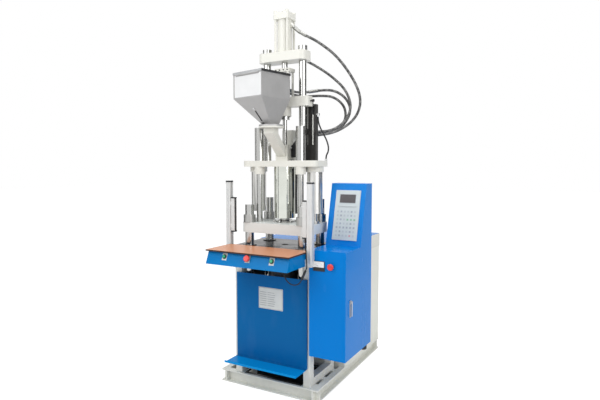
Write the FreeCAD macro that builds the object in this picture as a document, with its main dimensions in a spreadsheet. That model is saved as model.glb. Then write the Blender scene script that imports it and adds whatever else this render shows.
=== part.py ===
"""A vertical injection moulding machine on a channel base.

X runs to the right, Y to the back and Z up. The origin is on the floor, on the axis of the mould
and the barrel. The frame carries a bed; four tie bars slide in the bed and carry the moving platen;
the injection unit stands on the platen and slides on two guide columns.
"""
import FreeCAD, Part
import math
import os
import Sketcher
from FreeCAD import Placement, Rotation, Vector

SIZES = {
    # running and seating clearances
    "fit_gap": 0.05,
    "seat_gap": 0.3,
    # base of rolled channels
    "base_left": 400, "base_right": 350, "base_front": 198, "base_back": 930,
    "channel_height": 84, "channel_flange": 42, "channel_web": 7, "channel_lip": 8, "leg_pad": 8,
    # main frame
    "leg_side": 50, "leg_wall": 5, "leg_x": 264, "leg_y": 155, "foot_rail_height": 50,
    # bed
    "bed_bottom": 880, "bed_thickness": 85, "bed_half_width": 300, "bed_half_depth": 215,
    "bed_round": 12, "sprue_hole": 25, "mould_screw": 7, "mould_screw_x": 120, "mould_screw_y": 80,
    # clamp: platen, tie bars, crosshead and its cylinder
    "platen_bottom": 1056, "platen_thickness": 66, "platen_half_width": 258, "platen_half_depth": 160,
    "platen_round": 45, "platen_bore": 36, "tie_x": 205, "tie_y": 128, "tie_radius": 30,
    "tie_top_front": 1242, "tie_top_back": 1278, "tie_neck": 20, "bush_radius": 41, "bush_flange": 6,
    "tie_nut_radius": 41, "tie_nut_height": 52, "foot_nut_radius": 30, "foot_nut_height": 26,
    "crosshead_bottom": 330, "crosshead_thickness": 60, "crosshead_half_width": 233,
    "crosshead_half_depth": 158, "crosshead_round": 30,
    "clamp_bottom": 560, "clamp_radius": 95, "clamp_wall": 25, "clamp_flange": 120,
    "clamp_flange_thickness": 24, "clamp_rod": 45, "clamp_piston": 55, "clamp_gland": 32,
    "clamp_stroke": 150,
    # injection seat: plate, guide columns, lift cylinders
    "seat_bottom": 1498, "seat_thickness": 40, "seat_half_width": 287, "seat_half_depth": 104,
    "seat_round": 45, "guide_x": 160, "guide_y": 70, "guide_radius": 21, "collar_radius": 34,
    "collar_height": 50, "cover_radius": 32, "cover_wall": 5, "cover_height": 222, "guide_head": 40,
    "lift_x": 221, "lift_y": 14, "lift_radius": 52, "lift_wall": 9, "lift_bottom": 1190,
    "lift_cap_radius": 56, "lift_cap": 34, "lift_rod": 16, "lift_piston": 25, "lift_foot_radius": 30,
    "lift_foot": 16, "seat_stroke": 50,
    # barrel, screw and feed
    "barrel_radius": 36, "barrel_bore": 15, "barrel_bottom": 1150, "barrel_flange": 42,
    "barrel_flange_thickness": 18, "nozzle_radius": 17, "nozzle_tip": 8, "nozzle_bottom": 1072,
    "nozzle_collar": 32, "sprue_bore": 3,
    "band_radius": 44, "band_height": 52, "band_pitch": 72, "band_low": 1166,
    "shield_radius": 74, "shield_wall": 1.5, "shield_bottom": 1152, "shield_mouth": 46,
    "screw_radius": 14.9, "screw_core": 9,
    "feed_half": 46, "feed_height": 104, "throat_radius": 20,
    "chute_half": 34, "chute_wall": 3, "outlet_y": 175, "outlet_z": 1757, "disc_radius": 80,
    "disc_thickness": 10,
    "hopper_turn": 12.6, "hopper_side": 256, "hopper_top": 2092, "hopper_shoulder": 1930,
    "hopper_outlet": 60, "hopper_wall": 2, "hopper_shift_x": 45, "hopper_shift_y": 39,
    "lid_lip": 12, "lid_wall": 2, "lid_gap": 1.2, "hinge_radius": 4, "hinge_leaf": 9,
    "hinge_run": 210,
    "chute_foot": 26,
    # injection frame: columns, top plate, cylinder
    "column_x": 137, "column_radius": 25, "column_nut": 31, "column_nut_height": 34,
    "top_bottom": 2195, "top_thickness": 60, "top_half_width": 178, "top_half_depth": 64,
    "top_round": 40, "cylinder_radius": 49, "cylinder_wall": 8, "cylinder_cap_half": 57,
    "cylinder_cap": 44, "cylinder_height": 214, "stay_offset": 45, "stay_radius": 8,
    "stay_nut": 12, "vent_radius": 17, "vent_height": 20, "port_boss": 13,
    "port_reach": 18, "port_start": 27,
    "port_length": 49, "port_tilt": 130, "port_drop": 14,
    # injection carriage
    "yoke_bottom": 1896, "yoke_thickness": 64, "yoke_half_width": 195, "yoke_half_depth": 44,
    "yoke_round": 20, "cage_x": 42, "cage_y": 34, "cage_rod": 8, "cage_height": 190,
    "cage_plate": 22, "motor_half": 26, "motor_height": 120, "piston_rod": 20, "ram_piston": 26,
    "bearing_radius": 44, "bearing_height": 60, "hub_radius": 33, "hub_height": 24,
    "injection_stroke": 120, "injection_back": 10, "knob_radius": 9, "knob_stem": 5,
    "knob_length": 14, "knob_reach": 12, "knob_level": 1930,
    # stroke scale
    "scale_x": 122, "scale_width": 84, "scale_y": 54, "scale_depth": 36, "scale_height": 376,
    "scale_box": 92, "scale_slot": 16, "scale_rod": 3, "scale_pitch": 40, "scale_face": 6,
    "scale_cap": 14, "slider_height": 40, "slider_level": 1712, "pointer_depth": 5,
    # control box, board and panel
    "box_half_width": 297, "box_front_top": 452, "box_front_low": 485, "box_bottom": 888,
    "box_top": 968, "sheet": 2, "inner_set": 4,
    "board_half_width": 304, "board_front": 476, "board_back": 216,
    "board_thickness": 9, "panel_half_width": 270, "panel_front": 192, "panel_bottom": 205,
    "panel_top": 784, "tray_front": 338, "tray_lip": 12,
    "button_pitch": 172, "button_middle": 9, "button_level": 940, "button_radius": 9.5,
    "button_barrel": 11, "button_depth": 18, "bezel_radius": 14.5, "bezel_height": 6,
    "button_travel": 4, "button_proud": 6, "mushroom_radius": 20, "mushroom_height": 12,
    "mushroom_crown": 16,
    "label_half_width": 17, "label_half_height": 23, "label_thickness": 1, "switch_half": 13,
    "switch_depth": 26, "plate_left": 91, "plate_width": 186, "plate_height": 143, "plate_z": 560,
    # cabinet and console
    "cabinet_left": 305, "cabinet_right": 552, "cabinet_front": 228, "cabinet_back": 200,
    "cabinet_bottom": 315, "cabinet_top": 986, "console_top": 1388, "console_foot": 8,
    "console_brow": 104, "keypad_width": 178, "keypad_height": 334, "keypad_rise": 26,
    "keypad_thickness": 5, "keypad_round": 8, "screen_width": 120, "screen_height": 62,
    "screen_drop": 40, "key_side": 14, "key_pitch": 24, "key_proud": 1.5, "key_rows": 7,
    "key_columns": 6, "key_rise": 24,
    "door_depth": 16, "door_seam": 0.5, "door_swing": 6, "hinge_barrel": 5, "hinge_length": 60,
    "hinge_inset": 90, "handle_y": 160, "handle_z": 583, "handle_length": 96,
    "handle_width": 18, "handle_base": 6, "handle_lever": 8, "handle_ear": 3, "handle_pin": 2,
    "lever_gap": 1, "lever_top": 0.6,
    "meter_x": 335, "meter_z": 860, "meter_width": 78, "meter_height": 62, "meter_depth": 4,
    "meter_rim": 4, "meter_skirt": 22, "cabinet_stop_x": 456, "cabinet_stop_z": 893, "bracket_height": 50,
    "bracket_low": 420, "bracket_high": 800, "rail_stand": 12, "rail_inset": 60, "gear_side": 70,
    "gear_depth": 80, "gear_step": 18, "gear_height": 91,
    # light curtain
    "post_x": 326, "post_left_y": 190, "post_right_y": 250, "post_side": 35, "post_bottom": 885,
    "post_top": 1405, "curtain_side": 28, "curtain_bottom": 1058, "curtain_length": 234,
    "curtain_gap": 4, "curtain_cap": 12, "clip_height": 24, "clip_inset": 30, "foot_inset": 5,
    # tank housing and power pack
    "tank_half_width": 348, "tank_front": 232, "tank_back": 922, "tank_top": 895,
    "tank_sheet": 4, "lid_top": 958, "lid_overlap": 3, "lid_skirt": 40, "oil_height": 250,
    "oil_inset": 30, "motor_radius": 95, "motor_length": 280, "motor_feet": 30, "pump_radius": 52,
    "pump_length": 120, "motor_foot_half": 93, "motor_foot_depth": 76,
    # manifold, hoses and cables
    "manifold_left": -56, "manifold_right": 30, "manifold_front": 60, "manifold_back": 190,
    "manifold_height": 210, "port_front": 106, "port_back": 140, "port_third": 174, "port_top": 1732,
    "port_middle": 1710, "port_low": 1706, "ferrule_radius": 12, "ferrule_length": 30, "motor_port_x": 13,
    "motor_port_z": 2000, "motor_port_step": 14, "plate_port_x": 80, "plate_port_z": 2225,
    "hose_radius": 9, "hose_lead": 90,
    "cable_radius": 3.5, "plug_radius": 7, "plug_length": 26, "joint_radius": 7.5,
    "gland_radius": 9, "gland_height": 12, "loom_radius": 8, "sensor_cable": 2.5, "scale_cable": 5,
    "loom_x": 92, "loom_y": 8,
    "loom_low": 1182, "scale_gland": 308, "scale_cable_x": 275, "elbow_drop": 8,
    "elbow_radius": 7.5,
}

doc = FreeCAD.newDocument("vertical_injection_machine")
sheet = doc.addObject("Spreadsheet::Sheet", "sizes")
for row, (alias, number) in enumerate(SIZES.items(), 1):
    sheet.set(f"A{row}", alias)
    sheet.set(f"B{row}", str(number))
    sheet.setAlias(f"B{row}", alias)
doc.recompute()


class Size:
    """A length from the sheet, or a sum of such lengths: its number now and its formula."""

    def __init__(self, number, formula):
        self.number = number
        self.formula = formula

    def __add__(self, other):
        other = size(other)
        return Size(self.number + other.number, f"({self.formula} + {other.formula})")

    def __sub__(self, other):
        other = size(other)
        return Size(self.number - other.number, f"({self.formula} - {other.formula})")

    def __mul__(self, factor):
        factor = size(factor)
        return Size(self.number * factor.number, f"({self.formula} * {factor.formula})")

    def __truediv__(self, other):
        other = size(other)
        return Size(self.number / other.number, f"({self.formula} / {other.formula})")

    def __radd__(self, other):
        return size(other) + self

    def __rsub__(self, other):
        return size(other) - self

    def __rmul__(self, other):
        return size(other) * self

    def __neg__(self):
        return Size(-self.number, f"(-1 * {self.formula})")


def size(value):
    if isinstance(value, Size):
        return value
    return Size(float(value), f"({float(value)})" if value < 0 else str(float(value)))


class Sheet:
    """Reads the sheet's cells by their aliases."""

    def __getattr__(self, alias):
        return Size(float(sheet.get(alias)), f"sizes.{alias}")


s = Sheet()
PARTS = {}


def bind(thing, prop, value):
    thing.setExpression(prop, size(value).formula)


def put(thing, x=0, y=0, z=0):
    bind(thing, "Placement.Base.x", x)
    bind(thing, "Placement.Base.y", y)
    bind(thing, "Placement.Base.z", z)
    return thing


def sub_part(name, thing):
    thing.Label = name
    PARTS[name] = thing
    return thing


# ---------------------------------------------------------------- primitives
def block(name, x, y, z):
    """A box between the pairs x, y and z."""
    thing = doc.addObject("Part::Box", name)
    bind(thing, "Length", size(x[1]) - x[0])
    bind(thing, "Width", size(y[1]) - y[0])
    bind(thing, "Height", size(z[1]) - z[0])
    return put(thing, x[0], y[0], z[0])


TURNS = {"z": (Vector(0, 0, 1), 0), "x": (Vector(0, 1, 0), 90), "y": (Vector(1, 0, 0), -90)}


def rod(name, radius, length, at, along="z"):
    """A cylinder that starts at a point and runs along an axis."""
    thing = doc.addObject("Part::Cylinder", name)
    bind(thing, "Radius", radius)
    bind(thing, "Height", length)
    thing.Placement = Placement(Vector(), Rotation(*TURNS[along]))
    return put(thing, *at)


def join(name, things):
    thing = doc.addObject("Part::MultiFuse", name)
    thing.Shapes = things
    thing.Refine = True
    return thing


def cut(name, base, tools):
    thing = doc.addObject("Part::Cut", name)
    thing.Base = base
    thing.Tool = tools[0] if len(tools) == 1 else join(name + "_tools", tools)
    thing.Refine = True
    return thing


def group(name, things):
    """Like pieces in one node, each a solid of its own."""
    thing = doc.addObject("Part::Compound", name)
    thing.Links = things
    return thing


# ---------------------------------------------------------------- sketched bodies
def origin_plane(body, role):
    return next(f for f in body.Origin.OriginFeatures if f.Role == role)


def pin_point(sketch, geo, pos, across, up):
    """Ties a sketch point to its two distances from the origin."""
    for kind, value, axis in (("DistanceX", size(across), -2), ("DistanceY", size(up), -1)):
        if value.formula == "0.0":
            sketch.addConstraint(Sketcher.Constraint("PointOnObject", geo, pos, axis))
            continue
        index = sketch.addConstraint(Sketcher.Constraint(kind, -1, 1, geo, pos, value.number))
        sketch.setExpression(f"Constraints[{index}]", value.formula)


def draw(body, name, role, loops=(), circles=()):
    """A sketch of closed loops of straight lines, and circles (across, up, radius)."""
    sketch = body.newObject("Sketcher::SketchObject", name)
    sketch.AttachmentSupport = [(origin_plane(body, role), "")]
    sketch.MapMode = "FlatFace"
    for loop in loops:
        corners = [Vector(size(a).number, size(b).number, 0) for a, b in loop]
        first = sketch.GeometryCount
        for here, there in zip(corners, corners[1:] + corners[:1]):
            sketch.addGeometry(Part.LineSegment(here, there), False)
        count = len(corners)
        for i, (across, up) in enumerate(loop):
            before = first + (i - 1) % count
            sketch.addConstraint(Sketcher.Constraint("Coincident", before, 2, first + i, 1))
            pin_point(sketch, first + i, 1, across, up)
    for across, up, radius in circles:
        centre = Vector(size(across).number, size(up).number, 0)
        ring = Part.Circle(centre, Vector(0, 0, 1), size(radius).number)
        geo = sketch.addGeometry(ring, False)
        pin_point(sketch, geo, 3, across, up)
        index = sketch.addConstraint(Sketcher.Constraint("Radius", geo, size(radius).number))
        sketch.setExpression(f"Constraints[{index}]", size(radius).formula)
    return sketch


def pad(name, role, length, loops=(), circles=(), at=(0, 0, 0), back=False):
    """A body padded from one sketch; with back, it grows against the sketch's normal."""
    body = doc.addObject("PartDesign::Body", name)
    feature = body.newObject("PartDesign::Pad", name + "_pad")
    feature.Profile = draw(body, name + "_outline", role, loops, circles)
    feature.Reversed = back
    bind(feature, "Length", length)
    body.Tip = feature
    return put(body, *at)


def turned(name, profile, at=(0, 0, 0)):
    """A body turned about Z from pairs of radius and height."""
    body = doc.addObject("PartDesign::Body", name)
    sketch = draw(body, name + "_outline", "XZ_Plane", [profile])
    feature = body.newObject("PartDesign::Revolution", name + "_turn")
    feature.Profile = sketch
    feature.ReferenceAxis = (sketch, ["V_Axis"])
    feature.Angle = 360
    body.Tip = feature
    return put(body, *at)


def round_off(body, radius, chosen):
    """Rounds the edges of a body that the test picks."""
    doc.recompute([body])
    tip = body.Tip
    names = [f"Edge{i + 1}" for i, e in enumerate(tip.Shape.Edges) if chosen(e)]
    feature = body.newObject("PartDesign::Fillet", body.Name + "_round")
    feature.Base = (tip, names)
    bind(feature, "Radius", radius)
    body.Tip = feature
    return body


def upright(edge):
    ends = [v.Point for v in edge.Vertexes]
    if len(ends) < 2 or edge.Curve.TypeId != "Part::GeomLine":
        return False
    way = ends[1] - ends[0]
    return abs(way.x) + abs(way.y) < 0.001


def rectangle(half_x, half_y):
    return [(-half_x, -half_y), (half_x, -half_y), (half_x, half_y), (-half_x, half_y)]


def plate(name, half_x, half_y, bottom, thickness, radius, circles=()):
    """A flat plate with round corners and round holes."""
    body = pad(name, "XY_Plane", thickness, [rectangle(half_x, half_y)], circles, (0, 0, bottom))
    return round_off(body, radius, upright)


def four(x, y):
    return [(-x, -y), (x, -y), (x, y), (-x, y)]


def box_loop(x0, x1, z0, z1):
    return [(x0, z0), (x1, z0), (x1, z1), (x0, z1)]


# ---------------------------------------------------------------- levels that several pieces share
bed_top = s.bed_bottom + s.bed_thickness
platen_top = s.platen_bottom + s.platen_thickness
crosshead_top = s.crosshead_bottom + s.crosshead_thickness
seat_top = s.seat_bottom + s.seat_thickness
top_plate_top = s.top_bottom + s.top_thickness
yoke_top = s.yoke_bottom + s.yoke_thickness
cage_base = yoke_top + s.cage_height
feed_top = seat_top + s.feed_height
clamp_top = s.bed_bottom


# ---------------------------------------------------------------- base and frame
def channel_loop(face, way):
    """A channel's section: web set back, flanges pointing out from the face."""
    web_face = face + way * s.channel_flange - way * s.channel_web
    back = face + way * s.channel_flange
    high = s.channel_height - s.channel_lip
    return [(face, 0), (back, 0), (back, s.channel_height), (face, s.channel_height),
            (face, high), (web_face, high), (web_face, s.channel_lip), (face, s.channel_lip)]


def make_base():
    length = s.base_back + s.base_front
    width = s.base_right + s.base_left
    right = pad("right_channel", "XZ_Plane", length, [channel_loop(s.base_right, -1)],
                at=(0, -s.base_front, 0), back=True)
    left = pad("left_channel", "XZ_Plane", length, [channel_loop(-s.base_left, 1)],
               at=(0, -s.base_front, 0), back=True)
    front = pad("front_channel", "YZ_Plane", width, [channel_loop(-s.base_front, 1)],
                at=(-s.base_left, 0, 0))
    rear = pad("rear_channel", "YZ_Plane", width, [channel_loop(s.base_back, -1)],
               at=(-s.base_left, 0, 0))
    inner = (-s.base_left + s.channel_flange, s.base_right - s.channel_flange)
    half = s.channel_flange / 2
    middle = block("axis_member", inner, (-half, half), (0, s.channel_height))
    under_legs = block("leg_member", inner, (s.leg_y - half, s.leg_y + half), (0, s.channel_height))
    middle_back = block("tank_member", inner, (s.tank_front, s.tank_front + s.channel_flange),
                        (0, s.channel_height))
    pads = []
    for x in (-1, 1):
        centre = x * s.leg_x
        pads.append(block("leg_pad", (centre - s.leg_side, centre + s.leg_side),
                          (-s.base_front, -s.leg_y + s.leg_side),
                          (s.channel_height - s.channel_lip, s.channel_height)))
    sub_part("base_frame", join("base_frame", [right, left, front, rear, middle, under_legs,
                                               middle_back] + pads))


def make_frame():
    half = s.leg_side / 2
    floor = s.channel_height
    pieces = []
    for x, y in four(1, 1):
        cx = x * s.leg_x
        cy = y * s.leg_y
        outer = block("leg", (cx - half, cx + half), (cy - half, cy + half), (floor, s.bed_bottom))
        inside = half - s.leg_wall
        hollow = block("leg_hollow", (cx - inside, cx + inside), (cy - inside, cy + inside),
                       (floor, s.bed_bottom))
        pieces.append(cut("leg_tube", outer, [hollow]))
    for x in (-1, 1):
        cx = x * s.leg_x
        span = (-s.leg_y + half, s.leg_y - half)
        pieces.append(block("foot_rail", (cx - half, cx + half), span,
                            (floor, floor + s.foot_rail_height)))
        pieces.append(block("head_rail", (cx - half, cx + half), span,
                            (s.bed_bottom - s.foot_rail_height, s.bed_bottom)))
    for y in (-s.leg_y, s.leg_y):
        for level in (s.bracket_low, s.bracket_high):
            pieces.append(block("cabinet_bracket", (s.leg_x + half, s.cabinet_left), (y - half, y + half),
                                (level, level + s.bracket_height)))
    sub_part("main_frame", join("main_frame", pieces))


def make_bed():
    holes = [(x, y, s.bush_radius) for x, y in four(s.tie_x, s.tie_y)]
    holes += [(x, y, s.mould_screw) for x, y in four(s.mould_screw_x, s.mould_screw_y)]
    holes.append((0, 0, s.sprue_hole))
    slab = plate("bed_slab", s.bed_half_width, s.bed_half_depth, s.bed_bottom, s.bed_thickness,
                 s.bed_round, holes)
    bushes = []
    outer = s.bush_radius - s.fit_gap
    bore = s.tie_radius + s.fit_gap
    brim = s.bush_radius + s.bush_flange
    for x, y in four(s.tie_x, s.tie_y):
        profile = [(bore, 0), (outer, 0), (outer, s.bed_thickness), (brim, s.bed_thickness),
                   (brim, s.bed_thickness + s.bush_flange), (bore, s.bed_thickness + s.bush_flange)]
        bushes.append(turned("tie_bush", profile, (x, y, s.bed_bottom)))
    sub_part("bed", group("bed", [slab] + bushes))


# ---------------------------------------------------------------- clamp
def make_clamp():
    neck = s.tie_neck + s.fit_gap
    holes = [(x, y, s.tie_radius + s.fit_gap) for x, y in four(s.tie_x, s.tie_y)]
    holes.append((0, 0, s.platen_bore))
    sub_part("moving_platen", plate("moving_platen", s.platen_half_width, s.platen_half_depth,
                                    s.platen_bottom, s.platen_thickness, s.platen_round, holes))
    holes = [(x, y, neck) for x, y in four(s.tie_x, s.tie_y)]
    sub_part("crosshead", plate("crosshead", s.crosshead_half_width, s.crosshead_half_depth,
                                s.crosshead_bottom, s.crosshead_thickness, s.crosshead_round, holes))
    foot = s.crosshead_bottom - s.foot_nut_height
    bars = []
    nuts = []
    for (x, y), top in zip(four(s.tie_x, s.tie_y), (s.tie_top_front, s.tie_top_front,
                                                    s.tie_top_back, s.tie_top_back)):
        profile = [(0, foot), (s.tie_neck, foot), (s.tie_neck, crosshead_top),
                   (s.tie_radius, crosshead_top), (s.tie_radius, top), (0, top)]
        bars.append(turned("tie_bar", profile, (x, y, 0)))
        bore = s.tie_radius + s.fit_gap
        nuts.append(turned("tie_head", [(bore, 0), (s.tie_nut_radius, 0),
                                        (s.tie_nut_radius, s.tie_nut_height), (bore, s.tie_nut_height)],
                           (x, y, platen_top)))
        nuts.append(turned("foot_nut", [(neck, 0), (s.foot_nut_radius, 0),
                                        (s.foot_nut_radius, s.foot_nut_height),
                                        (neck, s.foot_nut_height)], (x, y, foot)))
    sub_part("tie_bars", group("tie_bars", bars))
    sub_part("tie_nuts", group("tie_nuts", nuts))


def make_clamp_cylinder():
    bore = s.clamp_piston + s.fit_gap
    low = s.clamp_bottom
    roof = clamp_top - s.clamp_wall
    gland_top = low + s.clamp_gland
    gland = s.clamp_rod + s.fit_gap
    profile = [(gland, low), (s.clamp_radius, low), (s.clamp_radius, clamp_top - s.clamp_flange_thickness),
               (s.clamp_flange, clamp_top - s.clamp_flange_thickness), (s.clamp_flange, clamp_top),
               (0, clamp_top), (0, roof), (bore, roof), (bore, gland_top), (gland, gland_top)]
    sub_part("clamp_cylinder", turned("clamp_cylinder", profile))
    under = gland_top + s.seat_gap
    head = under + s.clamp_gland
    profile = [(0, crosshead_top), (s.clamp_rod, crosshead_top), (s.clamp_rod, under),
               (s.clamp_piston, under), (s.clamp_piston, head), (0, head)]
    sub_part("clamp_piston", turned("clamp_piston", profile))


# ---------------------------------------------------------------- injection seat
def make_seat():
    holes = [(x, -s.guide_y, s.guide_radius + s.fit_gap) for x in (-s.guide_x, s.guide_x)]
    holes.append((0, 0, s.barrel_radius + s.fit_gap))
    sub_part("seat_plate", plate("seat_plate", s.seat_half_width, s.seat_half_depth, s.seat_bottom,
                                 s.seat_thickness, s.seat_round, holes))
    bore = s.guide_radius + s.fit_gap
    covers = []
    columns = []
    for x in (-s.guide_x, s.guide_x):
        covers.append(turned("collar", [(bore, 0), (s.collar_radius, 0),
                                        (s.collar_radius, s.collar_height), (bore, s.collar_height)],
                             (x, -s.guide_y, s.seat_bottom - s.collar_height)))
        inner = s.cover_radius - s.cover_wall
        roof = s.cover_height - s.cover_wall
        covers.append(turned("cover", [(inner, 0), (s.cover_radius, 0), (s.cover_radius, s.cover_height),
                                       (0, s.cover_height), (0, roof), (inner, roof)],
                             (x, -s.guide_y, seat_top)))
        columns.append(rod("guide_column", s.guide_radius, seat_top + s.guide_head - platen_top,
                           (x, -s.guide_y, platen_top)))
    sub_part("guide_columns", group("guide_columns", columns))
    sub_part("guide_covers", group("guide_covers", covers))


def make_lift_cylinders():
    cylinders = []
    rods = []
    low = s.lift_bottom
    top = s.seat_bottom
    bore = s.lift_piston + s.fit_gap
    gland = s.lift_rod + s.fit_gap
    wall = s.lift_radius
    floor = low + s.lift_cap
    piston_low = top - s.lift_cap - s.seat_stroke - s.lift_cap
    for x in (-s.lift_x, s.lift_x):
        profile = [(gland, low), (s.lift_cap_radius, low), (s.lift_cap_radius, floor), (wall, floor),
                   (wall, top - s.lift_cap), (s.lift_cap_radius, top - s.lift_cap),
                   (s.lift_cap_radius, top), (0, top), (0, top - s.lift_cap),
                   (bore, top - s.lift_cap), (bore, floor), (gland, floor)]
        cylinders.append(turned("lift_cylinder", profile, (x, s.lift_y, 0)))
        profile = [(0, platen_top), (s.lift_foot_radius, platen_top),
                   (s.lift_foot_radius, platen_top + s.lift_foot), (s.lift_rod, platen_top + s.lift_foot),
                   (s.lift_rod, piston_low), (s.lift_piston, piston_low),
                   (s.lift_piston, piston_low + s.lift_cap), (0, piston_low + s.lift_cap)]
        rods.append(turned("lift_rod", profile, (x, s.lift_y, 0)))
    sub_part("lift_cylinders", group("lift_cylinders", cylinders))
    sub_part("lift_rods", group("lift_rods", rods))


def make_barrel():
    bore = s.barrel_bore
    low = s.barrel_bottom
    high = seat_top + s.barrel_flange_thickness
    profile = [(bore, low), (s.barrel_radius, low), (s.barrel_radius, seat_top),
               (s.barrel_flange, seat_top), (s.barrel_flange, high),
               (bore, high)]
    sub_part("barrel", turned("barrel", profile))
    tip = s.nozzle_bottom
    shoulder = low - s.nozzle_radius
    profile = [(s.sprue_bore, tip), (s.nozzle_tip, tip), (s.nozzle_radius, tip + s.nozzle_radius),
               (s.nozzle_radius, shoulder), (s.nozzle_collar, shoulder), (s.nozzle_collar, low),
               (s.sprue_bore, low)]
    sub_part("nozzle", turned("nozzle", profile))
    bands = []
    inner = s.barrel_radius + s.fit_gap
    for i in range(4):
        z = s.band_low + i * s.band_pitch
        bands.append(turned("heater_band", [(inner, 0), (s.band_radius, 0), (s.band_radius, s.band_height),
                                            (inner, s.band_height)], (0, 0, z)))
    sub_part("heater_bands", group("heater_bands", bands))
    outer = rod("shield_outer", s.shield_radius, s.seat_bottom - s.shield_bottom, (0, 0, s.shield_bottom))
    inner = rod("shield_inner", s.shield_radius - s.shield_wall, s.seat_bottom - s.shield_bottom,
                (0, 0, s.shield_bottom))
    mouth = block("shield_mouth_gap", (-s.shield_mouth, s.shield_mouth), (0, s.shield_radius),
                  (s.shield_bottom, s.seat_bottom))
    sub_part("barrel_shield", cut("barrel_shield", outer, [inner, mouth]))


def make_screw():
    """Plasticising screw: pointed tip, check ring, shank; it turns and slides in the barrel."""
    top = s.yoke_bottom - s.bearing_height - s.hub_height
    tip = s.barrel_bottom + s.injection_stroke + s.screw_core
    ring = tip + 2 * s.screw_core
    profile = [(0, tip), (s.screw_core, ring), (s.screw_radius, ring), (s.screw_radius, top), (0, top)]
    shank = turned("screw_shank", profile)
    bore = s.screw_radius + s.fit_gap
    profile = [(bore, 0), (s.hub_radius, 0), (s.hub_radius, s.hub_height), (bore, s.hub_height)]
    hub = turned("screw_hub", profile, (0, 0, top))
    sub_part("screw", group("screw", [shank, hub]))


# ---------------------------------------------------------------- feed block, chute and hopper
def make_feed():
    half = s.feed_half
    inner = s.barrel_flange + s.fit_gap
    outer = block("feed_outer", (-half, half), (-half, half), (seat_top, feed_top))
    well = rod("feed_well", inner, s.barrel_flange_thickness + s.seat_gap, (0, 0, seat_top))
    bore = rod("feed_bore", s.screw_radius + s.seat_gap, s.feed_height, (0, 0, seat_top))
    throat = rod("feed_throat", s.throat_radius, half,
                 (0, -half, seat_top + s.feed_height / 2), "y")
    sub_part("feed_block", cut("feed_block", outer, [well, bore, throat]))


def frustum(name, low, high, bottom, top):
    """A four-sided funnel between two rectangles, each (x0, x1, y0, y1)."""
    thing = doc.addObject("Part::Wedge", name)
    for prop, value in (("Xmin", low[0]), ("Xmax", low[1]), ("Zmin", -low[3]), ("Zmax", -low[2]),
                        ("X2min", high[0]), ("X2max", high[1]), ("Z2min", -high[3]),
                        ("Z2max", -high[2]), ("Ymin", 0), ("Ymax", top - bottom)):
        bind(thing, prop, value)
    thing.Placement = Placement(Vector(), Rotation(Vector(1, 0, 0), 90))
    return put(thing, 0, 0, bottom)


def square(half, x=0, y=0):
    return (size(x) - half, size(x) + half, size(y) - half, size(y) + half)


def make_chute():
    """A square spout that leans from under the hopper to the throat of the feed block."""
    middle = seat_top + s.feed_height / 2
    low = middle - s.chute_foot
    high = middle + s.chute_foot
    face = -s.feed_half
    top = s.outlet_z - s.disc_thickness
    bend = top - s.chute_half
    half = s.chute_half
    wall = s.chute_wall
    back = half - s.outlet_y
    front = -half - s.outlet_y
    outer = [(face, low), (face, high), (back, bend), (back, top), (front, top), (front, bend)]
    inner = [(face, low + wall), (face, high - wall), (back - wall, bend), (back - wall, top),
             (front + wall, top), (front + wall, bend)]
    shell = pad("chute_shell", "YZ_Plane", 2 * half, [outer], at=(-half, 0, 0))
    hollow = pad("chute_hollow", "YZ_Plane", 2 * half - 2 * wall, [inner], at=(wall - half, 0, 0))
    flange = rod("chute_flange", s.disc_radius, s.disc_thickness, (0, -s.outlet_y, top))
    hole = block("chute_hole", (-s.hopper_outlet / 2, s.hopper_outlet / 2),
                 (-s.outlet_y - s.hopper_outlet / 2, s.hopper_outlet / 2 - s.outlet_y), (top, s.outlet_z))
    sub_part("feed_chute", cut("feed_chute", join("chute_body", [shell, flange]), [hollow, hole]))


def turn_to_hopper(thing, x, y, z):
    """Sets a piece drawn about the outlet's axis square with the hopper, at a level."""
    thing.Placement = Placement(Vector(), Rotation(Vector(0, 0, 1), 0))
    bind(thing, "Placement.Rotation.Angle", -s.hopper_turn)
    return put(thing, x, y, z)


def make_hopper():
    wall = s.hopper_wall
    half = s.hopper_side / 2
    out = s.hopper_outlet / 2
    shift = (-s.hopper_shift_x, -s.hopper_shift_y)
    tall = s.hopper_top - s.hopper_shoulder
    cone = s.hopper_shoulder - s.outlet_z
    disc = rod("hopper_disc", s.disc_radius, s.disc_thickness, (0, 0, 0))
    funnel = frustum("funnel", square(out + wall), square(half, *shift), 0, cone)
    funnel_in = frustum("funnel_inside", square(out), square(half - wall, *shift), 0, cone)
    ends = square(half, *shift)
    inside = square(half - wall, *shift)
    box = block("bin", ends[:2], ends[2:], (cone, cone + tall))
    box_in = block("bin_inside", inside[:2], inside[2:], (cone, cone + tall))
    shell = cut("hopper_shell", join("hopper_solid", [disc, funnel, box]), [funnel_in, box_in])
    turn_to_hopper(shell, 0, -s.outlet_y, s.outlet_z)
    rim = square(half + s.lid_gap + s.lid_wall, *shift)
    room = square(half + s.lid_gap, *shift)
    cap = block("lid_cap", rim[:2], rim[2:], (-s.lid_lip, s.lid_wall))
    hollow = block("lid_room", room[:2], room[2:], (-s.lid_lip, 0))
    lid = cut("hopper_lid", cap, [hollow])
    sub_part("hopper_lid", turn_to_hopper(lid, 0, -s.outlet_y, s.hopper_top))
    front = -half - s.hopper_shift_y
    span = (-s.hopper_shift_x - s.hinge_run / 2, -s.hopper_shift_x + s.hinge_run / 2)
    level = -s.lid_lip - s.hinge_radius - s.seat_gap
    leaf = block("hinge_leaf", span, (front - s.hopper_wall, front), (level - s.hinge_leaf, level))
    axis_y = front - s.hinge_radius - s.seat_gap
    pin = rod("hinge_pin", s.hinge_radius, s.hinge_run, (span[0], axis_y, level), "x")
    hinge = turn_to_hopper(join("hopper_hinge", [leaf, pin]), 0, -s.outlet_y, s.hopper_top)
    sub_part("hopper", group("hopper", [shell, hinge]))


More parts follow.
